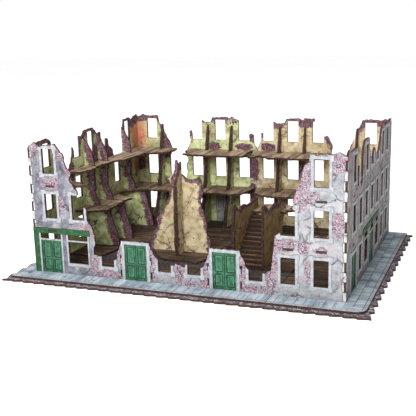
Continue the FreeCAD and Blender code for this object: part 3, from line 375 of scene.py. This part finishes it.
def brickwork(paint, run, stops, shift=0.0):
    """(colour, mortar) of a broken brick print: flecks of crimson, pink, slate and chalk in short courses."""
    courses, _ = paint.bricks(wall_plane(paint, run), width=4.4, height=1.9, mortar=0.3)
    fleck = paint.cells(1.6, at=paint.vector("MULTIPLY", paint.place, (1, 1, 1.5)), output="Color")
    tone = shares(paint, paint.channel(fleck), 0.5, paint.noise(6, rough=0.75, shift=shift), 0.6)
    darkest = stops[0][1]
    bricks = paint.mix(paint.times(courses, 0.45), paint.ramp(tone, stops), darkest)
    shadow = paint.noise(2.6, rough=0.75, shift=shift + 2)
    return stained(paint, bricks, darkest, 0.55, shadow, 0.57, 0.66), courses


def oval(paint, along, height, place):
    """Square of the distance from an oval's middle: 1 on its rim. place is (along, height, half sizes)."""
    at, up, wide, high = place
    aside = paint.over(paint.minus(along, at), wide)
    above = paint.over(paint.minus(height, up), high)
    return paint.plus(paint.times(aside, aside), paint.times(above, above))


def spots(paint, along, height, places, ragged):
    """Mask of blotches: places are (along, height, half width, half height), their rims ragged."""
    mask = 0.0
    for place in places:
        blotch = paint.between(paint.plus(oval(paint, along, height, place), ragged), 1.08, 0.92)
        mask = paint.larger(mask, blotch)
    return mask


def plaster(paint, stops, patch=17.0, shift=0.0):
    """Mottled plaster with patches of about that size."""
    broad = paint.noise(patch, rough=0.62, shift=shift)
    fine = paint.noise(1.6, 4, 0.8, shift=shift + 5)
    return paint.ramp(shares(paint, broad, 0.72, fine, 0.28), stops)


def cracks(paint, run, size, width):
    """Thin dark lines wandering over a face."""
    stray = paint.combine(paint.noise(9, 3, 0.6, shift=41), paint.noise(9, 3, 0.6, shift=57), 0.0)
    warped = paint.vector("ADD", wall_plane(paint, run), paint.vector("SCALE", stray, scale=14.0))
    lines = paint.between(paint.cells(size, at=warped, feature="DISTANCE_TO_EDGE"), width, width * 0.3)
    some = paint.between(paint.noise(26, 2, 0.5, shift=71), 0.46, 0.58)
    return paint.times(lines, some)


def papered(paint, colour, run):
    """The fine dark grid of a printed wallpaper over a colour."""
    rule, _ = paint.bricks(wall_plane(paint, run), width=2.6, height=1.9, mortar=0.34)
    faded = paint.between(paint.noise(13, 4, 0.6, shift=17), 0.36, 0.6)
    ink = paint.times(rule, paint.plus(0.22, paint.times(faded, 0.38)))
    return paint.mix(ink, colour, WALLPAPER_INK)


def quoins(paint, run, low, high):
    """(mask, joints) of the corner stones next to the two ends of a wall, long and short in turn."""
    along = paint.along(run)
    near = paint.smaller(paint.size_of(paint.minus(along, low)), paint.size_of(paint.minus(along, high)))
    course = paint.over(paint.minus(paint.z, GROUND), QUOIN)
    even = paint.math("PINGPONG", paint.math("FLOOR", course), 1)
    reach = paint.plus(QUOIN_SHORT, paint.times(even, QUOIN_LONGER))
    inside = paint.math("LESS_THAN", near, reach)
    joint = paint.times(paint.math("PINGPONG", course, 0.5), QUOIN)
    rim = paint.smaller(joint, paint.minus(reach, near))
    return inside, paint.times(inside, paint.between(rim, 0.9, 0.3))


# ---------------------------------------------------------------- prints

def wall(name, run, outward, paper_from, crest, stains=DAMP, street_spots=(), room_spots=(), blush=(),
         shade_strength=0.0, tint=UNTINTED):
    """A printed wall board: street side, room side and burnt edges.

    The room side is green plaster up to paper_from, in millimetres from the building's corner, and
    wallpaper beyond it. crest is the broken top as (distance from that corner, height). The spots are
    where the plaster has come off a side, and blush is where the room side is scorched orange.
    shade_strength is how much painted shade darkens and blues the street side towards the corner, and
    tint colours all of it; on the right wall the tint is painted shade that darkens the whole side.
    """
    paint = Paint(name)
    corner, far = (LEFT, RIGHT) if run == "x" else (FRONT, BACK)
    along = paint.minus(paint.along(run), corner)
    height = paint.minus(paint.z, GROUND)
    below_top = paint.minus(paint.curve(along, crest, LONGEST, TALLEST), height)
    torn = paint.plus(below_top, wander(paint, 11, 13, 46.0))
    rim = wander(paint, 8, 31, 3.2)
    loose = paint.between(paint.noise(15, rough=0.68, shift=29), 0.62, 0.65)
    street_bricks, mortar = brickwork(paint, run, STREET_BRICK)
    room_bricks, _ = brickwork(paint, run, ROOM_BRICK, shift=7)

    street = plaster(paint, OUTSIDE, shift=2)
    low_down = paint.between(height, 16.0, 0.0)
    grime = paint.times(low_down, paint.between(paint.noise(7, 4), 0.35, 0.65))
    street = paint.mix(paint.times(grime, 0.6), street, GRIME)
    street = stained(paint, street, ROSE, 0.4, paint.noise(24, 3, 0.6, shift=83), 0.52, 0.66)
    street = paint.mix(1.0, street, tint, blend="MULTIPLY")
    # painted shade: the street side darkened and blued in patches towards its starting corner, as if out of
    # the light
    patchy = paint.between(paint.noise(13, shift=53), 0.3, 0.62)
    painted_shade = paint.times(paint.times(paint.between(along, 240.0, 30.0), shade_strength), patchy)
    street = paint.mix(painted_shade, street, SHADE_BLUE, blend="MULTIPLY")
    stone, joints = quoins(paint, run, corner, far)
    street = paint.mix(stone, street, plaster(paint, QUOIN_STONE, 8.0))
    street = paint.mix(joints, street, STONE_JOINT)
    street = paint.mix(paint.times(cracks(paint, run, 21.0, 0.05), 0.85), street, STREET_CRACK)
    bare = paint.larger(paint.between(torn, 13.0, 10.0), loose)
    bare = paint.larger(bare, spots(paint, along, height, street_spots, rim))
    street = paint.mix(bare, street, street_bricks)

    room = plaster(paint, GREEN, 14.0, shift=19)
    paper = papered(paint, plaster(paint, TAN, 14.0, shift=19), run)
    room = paint.mix(paint.math("GREATER_THAN", along, paper_from), room, paper)
    room = stained(paint, room, stains, 0.55, paint.noise(30, 4, 0.65, shift=47), 0.52, 0.68)
    room = stained(paint, room, SOOT, 0.55, paint.noise(19, shift=61), 0.55, 0.72)
    room = paint.mix(paint.times(cracks(paint, run, 24.0, 0.04), 0.8), room, ROOM_CRACK)
    for place in blush:
        away = paint.plus(oval(paint, along, height, place), paint.times(rim, 0.4))
        room = stained(paint, room, ORANGE, 0.8, away, 1.3, 0.1)
    bare = paint.between(torn, 9.0, 6.5)
    bare = paint.larger(bare, spots(paint, along, height, room_spots, rim))
    room = paint.mix(paint.larger(bare, paint.times(loose, 0.85)), room, room_bricks)

    sides = paint.mix(face_mask(paint, outward), room, street)
    scorched = paint.times(paint.near_edge(1.1), paint.between(paint.noise(2.6, 3, 0.6), 0.3, 0.6))
    sides = paint.mix(paint.times(scorched, 0.8), sides, CHAR)
    return paint.finish(faced(paint, sides, outward), board_relief(paint, mortar), rough=0.78)


def stub(name, run, origin, sign, profile, stops=GREEN, paper=False):
    """A rib or panel that stands out from a wall: printed plaster inside a wide brick border.

    origin is where it meets the wall and sign the way it goes from there along run. profile is its
    free edge as (height, distance from the wall).
    """
    paint = Paint(name)
    depth = paint.times(paint.minus(paint.along(run), origin), sign)
    height = paint.minus(paint.z, GROUND)
    from_edge = paint.minus(paint.curve(height, profile, TALLEST, DEEPEST), depth)
    bricks, mortar = brickwork(paint, run, ROOM_BRICK, shift=7)
    sides = plaster(paint, stops, 11.0, shift=23)
    if paper:
        sides = papered(paint, sides, run)
    sides = stained(paint, sides, (52, 42, 30), 0.5, paint.noise(15, shift=61), 0.5, 0.7)
    sides = paint.mix(paint.times(cracks(paint, run, 15.0, 0.06), 0.9), sides, (40, 30, 24))
    border = paint.between(paint.minus(from_edge, wander(paint, 9, 13, 26.0)), 13.0, 10.0)
    sides = charred(paint, paint.mix(border, sides, bricks), 1.2, share=0.75)
    return paint.finish(faced(paint, sides, ACROSS[run]), board_relief(paint, mortar), rough=0.8)


def free_panel(name, run, middle, low_side, high_side, crest, tint=UNTINTED):
    """A free-standing papered panel with a brick border along its broken sides and top.

    The sides are (height, distance from the middle) on the low and the high side of the middle, and
    the crest is (distance along from the low side's foot, height).
    """
    paint = Paint(name)
    along = paint.minus(paint.along(run), middle)
    height = paint.minus(paint.z, GROUND)
    from_low = paint.plus(paint.curve(height, low_side, TALLEST, DEEPEST), along)
    from_high = paint.minus(paint.curve(height, high_side, TALLEST, DEEPEST), along)
    top = paint.curve(paint.plus(along, low_side[0][1]), crest, TALLEST, TALLEST)
    from_edge = paint.smaller(paint.smaller(from_low, from_high), paint.minus(top, height))
    bricks, mortar = brickwork(paint, run, ROOM_BRICK, shift=5)
    paper = papered(paint, plaster(paint, TAN, 12.0, shift=3), run)
    paper = paint.mix(1.0, paper, tint, blend="MULTIPLY")
    paper = stained(paint, paper, (84, 62, 36), 0.4, paint.noise(17, shift=61), 0.52, 0.7)
    paper = paint.mix(paint.times(cracks(paint, run, 26.0, 0.035), 0.8), paper, (64, 46, 36))
    border = paint.between(paint.minus(from_edge, wander(paint, 9, 13, 22.0)), 6.5, 4.0)
    loose = paint.between(paint.noise(12, shift=29), 0.61, 0.65)
    sides = charred(paint, paint.mix(paint.larger(border, loose), paper, bricks), 1.2)
    return paint.finish(faced(paint, sides, ACROSS[run]), board_relief(paint, mortar), rough=0.8)


def planks(name, run, tones):
    """Floorboards with dark gaps and soot. run is the axis the boards lie along."""
    paint = Paint(name)
    lengthwise, crosswise = (paint.y, paint.x) if run == "y" else (paint.x, paint.y)
    gaps, grey = paint.bricks(paint.combine(lengthwise, crosswise, 0.0), width=46.0, height=5.2, mortar=0.36)
    stretched = paint.combine(paint.times(lengthwise, 0.12), paint.times(crosswise, 1.0), 0.0)
    grain = paint.noise(1.5, 4, at=stretched)
    wood = paint.ramp(shares(paint, grey, 0.34, grain, 0.66), tones)
    wood = stained(paint, wood, (44, 34, 28), 0.6, paint.noise(21, shift=5), 0.5, 0.68)
    wood = stained(paint, wood, (142, 128, 112), 0.5, paint.noise(12, shift=37), 0.6, 0.72)
    wood = charred(paint, paint.mix(gaps, wood, (24, 18, 15)), 2.8, share=0.95)
    return paint.finish(faced(paint, wood, UP), paint.minus(grain, gaps), rough=0.72, height=0.5)


def pavement(name):
    """Paving slabs in blue greys with a kerb along the street edge, two rows deep in the side streets."""
    paint = Paint(name)
    low, high = ([c / MM for c in corner] for corner in PAVED)
    edge = paint.smaller(paint.minus(paint.x, low[0]), paint.minus(high[0], paint.x))
    edge = paint.smaller(edge, paint.minus(paint.y, low[1]))
    beside = paint.larger(paint.minus(LEFT, paint.x), paint.minus(paint.x, RIGHT))
    side_street = paint.math("GREATER_THAN", beside, 0.0)
    along = paint.mix(side_street, paint.combine(paint.x), paint.combine(paint.y))
    slab = paint.over(paint.channel(along), SLAB)
    row = paint.times(paint.math("GREATER_THAN", edge, KERB + SLAB), side_street)
    joint = paint.times(paint.math("PINGPONG", slab, 0.5), SLAB)
    row_joint = paint.size_of(paint.minus(edge, KERB + SLAB))
    row_joint = paint.plus(row_joint, paint.minus(1.0, side_street))
    slab_joint = paint.between(paint.smaller(joint, row_joint), 0.5, 0.25)
    slab_grey = paint.random(paint.combine(paint.math("ROUND", slab), row, side_street))
    speckle = paint.noise(1.4, 4, 0.8, shift=3)
    tone = shares(paint, slab_grey, 0.22, speckle, 0.4)
    tone = paint.plus(tone, paint.times(paint.noise(18, 4, 0.6, shift=8), 0.45))
    slabs = paint.mix(slab_joint, paint.ramp(tone, SLAB_TONES), (66, 72, 80))
    slabs = paint.mix(paint.times(cracks(paint, "x", 24.0, 0.04), 0.6), slabs, (60, 58, 64))
    stone_end = paint.math("PINGPONG", paint.over(paint.plus(paint.x, paint.y), KERB_STONE), 0.5)
    kerb_stone = paint.mix(paint.between(stone_end, 0.03, 0.015), paint.ramp(tone, KERB_TONES), (58, 56, 62))
    slabs = paint.mix(paint.math("LESS_THAN", edge, KERB), slabs, kerb_stone)
    kerb_line = paint.between(paint.size_of(paint.minus(edge, KERB)), 0.5, 0.25)
    slabs = charred(paint, paint.mix(kerb_line, slabs, (56, 56, 62)), 0.9, 0.7, edge=(46, 38, 36))
    colour = paint.mix(face_mask(paint, UP), burnt(paint), slabs)
    return paint.finish(colour, paint.minus(speckle, slab_joint), rough=0.8)


def cobbles(name):
    """The base board's print: small stones and rubble in purple greys, darker inside the building."""
    paint = Paint(name)
    flat = paint.combine(paint.x, paint.y, 0.0)
    gap = paint.between(paint.cells(COBBLE, at=flat, feature="DISTANCE_TO_EDGE"), 0.1, 0.03)
    stone = paint.cells(COBBLE, at=flat, output="Color")
    tone = shares(paint, stone, 0.5, paint.noise(9, rough=0.75), 0.5)
    colour = paint.mix(gap, paint.ramp(tone, COBBLE_TONES), (34, 27, 30))
    colour = stained(paint, colour, (74, 58, 56), 0.3, paint.noise(34, 4, 0.65, shift=15), 0.48, 0.66)
    inside = paint.math("LESS_THAN", paint.size_of(paint.x), RIGHT)
    inside = paint.times(inside, paint.math("GREATER_THAN", paint.y, FRONT))
    colour = charred(paint, paint.mix(paint.times(inside, 0.8), colour, (40, 29, 24)), 1.2)
    colour = paint.mix(face_mask(paint, UP), burnt(paint), colour)
    return paint.finish(colour, paint.minus(paint.noise(1.2, 3, 0.6), gap), rough=0.82, height=0.5)


def brushed(paint, size, stretch):
    """Noise drawn out into upright streaks."""
    return paint.noise(size, 4, at=paint.vector("MULTIPLY", paint.place, (1, 1, stretch)), shift=3)


def worn_paint(paint, stops, streak, scuffs, share, low):
    """Mottled paint, scuffed in patches to another colour."""
    colour = paint.ramp(shares(paint, paint.noise(6.5, 4, 0.65), 0.55, streak, 0.45), stops)
    return stained(paint, colour, scuffs, share, paint.noise(4.2, rough=0.75, shift=33), low, 0.66)


def painted_trim(name, stops, scuffs, edge=(70, 54, 46)):
    """Thin printed trim: mottled paint, scuffed to the board, scorched round its edge."""
    paint = Paint(name)
    streak = brushed(paint, 1.2, 0.25)
    colour = worn_paint(paint, stops, streak, scuffs, 0.8, 0.6)
    return paint.finish(charred(paint, colour, 0.8, 0.85, edge), streak, rough=0.7, height=0.25)


def door(name, node, stops, scuffs):
    """A pair of door leaves, each with outlines of its low and high panel and a painted highlight inside
    them.
    """
    paint = Paint(name)
    low, high = ([c / MM for c in corner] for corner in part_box(node))
    run = 0 if high[0] - low[0] > high[1] - low[1] else 1
    along = paint.minus(paint.x if run == 0 else paint.y, low[run])
    up = paint.minus(paint.z, low[2])
    leaf = (high[run] - low[run]) / 2
    tall = high[2] - low[2]
    streak = brushed(paint, 1.3, 0.2)
    colour = worn_paint(paint, stops, streak, scuffs, 0.7, 0.58)
    aside = paint.size_of(paint.minus(paint.math("WRAP", along, leaf, 0.0), leaf / 2))
    lines = paint.between(paint.minus(leaf / 2, aside), 0.7, 0.3)
    lights = 0.0
    for foot, head in DOOR_PANELS:
        above = paint.size_of(paint.minus(up, tall * (foot + head) / 2))
        beside_panel = paint.minus(aside, leaf / 2 - DOOR_STILE)
        out = paint.larger(beside_panel, paint.minus(above, tall * (head - foot) / 2))
        lines = paint.larger(lines, paint.between(paint.size_of(out), 0.75, 0.35))
        # painted highlight: a light line just inside each panel outline, as if its bevel caught the light
        inner = paint.size_of(paint.plus(out, 1.5))
        lights = paint.larger(lights, paint.between(inner, 0.6, 0.2))
    colour = paint.mix(paint.times(lights, 0.35), colour, stops[-1][1])
    colour = paint.mix(paint.times(lines, 0.75), colour, stops[0][1])
    return paint.finish(charred(paint, colour, 0.7), paint.minus(streak, lines), rough=0.6, height=0.5)


# ---------------------------------------------------------------- outlines and places of the prints

# broken tops as (distance from the wall's left or front end, height)
FACADE_CREST = [
    (0, 186), (14, 188), (44, 186), (58, 165), (66, 140), (74, 122), (86, 98), (96, 62), (98, 32),
    (132, 28), (140, 56), (182, 56), (192, 30), (260, 28), (269, 56), (311, 56), (322, 30), (354, 32),
    (360, 82), (380, 92), (386, 140), (398, 180), (451, 188),
]
BACK_CREST = [
    (0, 188), (44, 184), (58, 146), (68, 120), (74, 72), (96, 74), (100, 126), (106, 158), (125, 180),
    (196, 184), (212, 156), (226, 138), (236, 158), (256, 178), (324, 186), (352, 146), (360, 122),
    (385, 140), (396, 172), (451, 186),
]
LEFT_CREST = [
    (0, 182), (54, 184), (60, 156), (74, 124), (96, 124), (114, 150), (150, 178), (196, 178),
    (206, 150), (222, 124), (262, 128), (276, 182), (344, 186),
]
RIGHT_CREST = [
    (0, 188), (56, 184), (62, 134), (72, 160), (82, 158), (88, 130), (100, 164), (136, 186), (152, 160),
    (164, 148), (222, 150), (236, 172), (344, 188),
]
# free edges as (height, distance from the wall)
RIB_PROFILE = [(0, 50), (20, 46), (52, 32), (80, 25), (117, 17), (150, 10), (170, 0)]
PANEL_PROFILE = [(0, 54), (38, 45), (60, 40), (62, 24), (90, 14), (127, 17), (147, 14), (170, 0)]
FIN_PROFILE = [(0, 32), (112, 30), (142, 2)]

# free panels: side edges as (height, distance from the middle), tops as (distance along, height)
PARTITION_LOW = [(0, 50), (21, 46), (40, 38), (58, 32), (78, 20), (104, 12), (118, 8), (142, 3)]
PARTITION_HIGH = [(0, 48), (21, 50), (47, 44), (60, 41), (80, 36), (104, 38), (118, 32), (142, 3)]
PARTITION_CREST = [
    (0, 30), (22, 62), (30, 80), (38, 108), (45, 136), (50, 142), (53, 128), (62, 114), (84, 115),
    (92, 104), (100, 30),
]
STAIR_SIDE = [(0, 62), (40, 60), (80, 57), (92, 54)]
STAIR_CREST = [(0, 70), (6, 88), (20, 84), (32, 78), (60, 80), (84, 78), (108, 80), (116, 72), (122, 20)]

# how far the plaster goes on a wall with no wallpaper, and on one with nothing else
ALL_PLASTER = RIGHT - LEFT
ALL_PAPER = -1.0

# where plaster is off or scorched, as (distance along, height, half width, half height)
FACADE_SPOTS = [
    (32, 131, 14, 9), (48, 99, 6, 12), (84, 72, 9, 10), (100, 15, 9, 13), (121, 6, 16, 6),
    (183, 18, 7, 20), (224, 22, 9, 22), (262, 18, 9, 20), (244, 3, 14, 5), (399, 145, 17, 22),
    (385, 122, 14, 12), (439, 177, 14, 14), (440, 97, 8, 17), (370, 69, 17, 12), (359, 40, 6, 24),
    (396, 65, 8, 8), (402, 34, 5, 14), (418, 64, 10, 5), (317, 26, 7, 14), (330, 5, 22, 6),
    (351, 16, 9, 14),
]
BACK_SPOTS = [
    (221, 96, 10, 24), (219, 50, 8, 22), (204, 134, 16, 6), (246, 134, 15, 7), (150, 133, 12, 7),
    (60, 132, 10, 22), (8, 98, 9, 14), (58, 50, 7, 26), (314, 178, 22, 9), (266, 174, 12, 8),
    (298, 102, 7, 22), (4, 181, 22, 8),
]
LEFT_SPOTS = [
    (188, 140, 14, 16), (208, 26, 16, 14), (300, 176, 44, 11), (288, 132, 10, 14), (106, 124, 12, 20),
]
RIGHT_SPOTS = [(70, 120, 12, 20), (150, 150, 18, 16), (240, 160, 20, 20), (310, 120, 12, 26)]
CORNER_BLUSH = [(3, 152, 24, 34), (2, 98, 16, 18)]
LEFT_BLUSH = [(338, 152, 26, 34), (338, 98, 18, 18), (250, 30, 20, 40)]

# ---------------------------------------------------------------- the prints, and which node has which

# the facade gets painted shade over its left end
front_print = wall("facade_print", "x", (0, -1, 0), paper_start, FACADE_CREST, street_spots=FACADE_SPOTS,
                   shade_strength=1.0, tint=(236, 238, 240))
back_print = wall("back_wall_print", "x", (0, 1, 0), paper_start, BACK_CREST, room_spots=BACK_SPOTS,
                  blush=CORNER_BLUSH)
left_print = wall("left_wall_print", "y", (-1, 0, 0), ALL_PLASTER, LEFT_CREST, stains=RUSTY_DAMP,
                  room_spots=LEFT_SPOTS, blush=LEFT_BLUSH)
# painted shade: the right wall's tint darkens its whole print, as for a side turned from the light
right_print = wall("right_wall_print", "y", (1, 0, 0), ALL_PAPER, RIGHT_CREST, street_spots=RIGHT_SPOTS,
                   tint=(206, 200, 196))
rib_print = stub("rib_print", "y", inner_back, -1, RIB_PROFILE)
panel_print = stub("room_panel_print", "x", inner_left, 1, PANEL_PROFILE)
partition_print = free_panel("partition_print", "x", partition_middle, PARTITION_LOW, PARTITION_HIGH,
                             PARTITION_CREST)
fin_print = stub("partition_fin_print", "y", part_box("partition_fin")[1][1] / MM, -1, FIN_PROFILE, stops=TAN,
                 paper=True)
stair_print = free_panel("stair_wall_print", "y", stair_middle, STAIR_SIDE, STAIR_SIDE, STAIR_CREST,
                         tint=(206, 190, 168))
floor_print = planks("floor_print", "x", FLOOR_TONES)
deck_print = planks("deck_print", "y", DECK_TONES)
tread_print = planks("tread_print", "x", TREAD_TONES)
carriage_print = painted_trim("stair_carriage_print", CARRIAGE_TONES, scuffs=(90, 66, 48))
pavement_print = pavement("pavement_print")
base_print = cobbles("base_print")
white_print = painted_trim("white_trim_print", WHITE_PAINT, scuffs=(150, 140, 146), edge=(58, 48, 50))
fascia_print = painted_trim("shop_fascia_print", FASCIA_PAINT, scuffs=(24, 52, 32), edge=(18, 34, 24))
GREEN_DOORS = [
    "street_door_left", "street_door_middle", "shop_door_left", "shop_door_right", "side_door_right",
]
door_prints = [
    ((node,), door(node + "_print", node, DOOR_GREEN, scuffs=(30, 58, 46))) for node in GREEN_DOORS
]
grey_door_print = door("interior_door_print", "interior_door", DOOR_GREY, scuffs=(96, 92, 92))
door_prints.append((("interior_door",), grey_door_print))

# the starts of node names, and their print
PRINTS = [
    (("facade",), front_print),
    (("back_wall",), back_print),
    (("left_wall",), left_print),
    (("right_wall",), right_print),
    (("window_trim",), white_print),
    (("shop_fascia",), fascia_print),
    (("ribs",), rib_print),
    (("room_panel",), panel_print),
    (("partition_panel",), partition_print),
    (("partition_fin",), fin_print),
    (("stair_wall",), stair_print),
    (("stair_carriage",), carriage_print),
    (("stair_treads",), tread_print),
    (("floor",), floor_print),
    (("deck", "stair_landing"), deck_print),
    (("pavement",), pavement_print),
    (("base",), base_print),
] + door_prints
for name, node in nodes.items():
    for starts, material in PRINTS:
        if name.startswith(starts):
            node.data.materials.clear()
            node.data.materials.append(material)

# ---------------------------------------------------------------- floor, light and camera

FLOOR_HALF = 6.0
FLOOR_DROP = 0.0003
FLOOR_GLOW = 0.45
ground = bpy.data.meshes.new("ground")
corners = [(x * FLOOR_HALF, y * FLOOR_HALF, 0) for x, y in ((-1, -1), (1, -1), (1, 1), (-1, 1))]
ground.from_pydata(corners, [], [(0, 1, 2, 3)])
ground_object = bpy.data.objects.new("ground", ground)
ground_object.location.z = -FLOOR_DROP
bpy.context.scene.collection.objects.link(ground_object)
white_floor = Paint("white_floor")
tone = white_floor.ramp(white_floor.noise(300, 2, 0.6), [(0.3, (236, 236, 236)), (0.7, (240, 240, 240))])
ground.materials.append(white_floor.finish(tone, rough=0.9))
white_floor.shader.inputs["Emission Color"].default_value = (1, 1, 1, 1)
white_floor.shader.inputs["Emission Strength"].default_value = FLOOR_GLOW


def lamp(name, place, aim, width, watts):
    """A square lamp of that width at a place, turned to its aim."""
    light = bpy.data.lights.new(name, "AREA")
    light.shape = "SQUARE"
    light.size = width
    light.energy = watts
    holder = bpy.data.objects.new(name, light)
    holder.location = place
    holder.rotation_euler = (Vector(aim) - Vector(place)).to_track_quat("-Z", "Y").to_euler()
    bpy.context.scene.collection.objects.link(holder)


middle = (0, 0, 0.08)
lamp("key", (0.08, -1.55, 0.95), middle, width=0.7, watts=30)
lamp("overhead", (-0.3, -0.25, 1.7), middle, width=0.9, watts=15)

# the sky lights the scene softly, brightest from the front left, and stands behind it as plain white
SKY_FROM = Vector((-0.6, -0.65, 0.45)).normalized()
SKY_DIM = 0.1
SKY_BRIGHT = 0.9
world = bpy.data.worlds.new("studio")
world.use_nodes = True
sky = world.node_tree
soft = sky.nodes["Background"]
soft.inputs["Color"].default_value = (1, 1, 1, 1)
towards = sky.nodes.new("ShaderNodeTexCoord")
facing = sky.nodes.new("ShaderNodeVectorMath")
facing.operation = "DOT_PRODUCT"
facing.inputs[1].default_value = SKY_FROM
strength = sky.nodes.new("ShaderNodeMapRange")
strength.inputs["From Min"].default_value = -1
strength.inputs["To Min"].default_value = SKY_DIM
strength.inputs["To Max"].default_value = SKY_BRIGHT
sky.links.new(towards.outputs["Generated"], facing.inputs[0])
sky.links.new(facing.outputs["Value"], strength.inputs["Value"])
sky.links.new(strength.outputs["Result"], soft.inputs["Strength"])
backdrop = sky.nodes.new("ShaderNodeBackground")
backdrop.inputs["Color"].default_value = (1, 1, 1, 1)
seen = sky.nodes.new("ShaderNodeLightPath")
either = sky.nodes.new("ShaderNodeMixShader")
sky.links.new(seen.outputs["Is Camera Ray"], either.inputs[0])
sky.links.new(soft.outputs[0], either.inputs[1])
sky.links.new(backdrop.outputs[0], either.inputs[2])
sky.links.new(either.outputs[0], sky.nodes["World Output"].inputs["Surface"])
bpy.context.scene.world = world
bpy.context.scene.view_settings.view_transform = "Standard"

# angles in radians, the lens in mm
CAMERA_PLACE = Vector((0.4076, -1.0827, 0.35515))
YAW = -0.3757
PITCH = 0.2352
ROLL = -0.0273
LENS = 68.49
forward = Vector((math.sin(YAW) * math.cos(PITCH), math.cos(YAW) * math.cos(PITCH), -math.sin(PITCH)))
level_right = Vector((math.cos(YAW), -math.sin(YAW), 0))
level_up = level_right.cross(forward)
right = math.cos(ROLL) * level_right + math.sin(ROLL) * level_up
upward = -math.sin(ROLL) * level_right + math.cos(ROLL) * level_up
camera_data = bpy.data.cameras.new("camera")
camera_data.lens = LENS
camera_data.clip_start = 0.05
camera = bpy.data.objects.new("camera", camera_data)
turn = Matrix((right, upward, -forward)).transposed()
camera.matrix_world = Matrix.Translation(CAMERA_PLACE) @ turn.to_4x4()
bpy.context.scene.collection.objects.link(camera)
bpy.context.scene.camera = camera
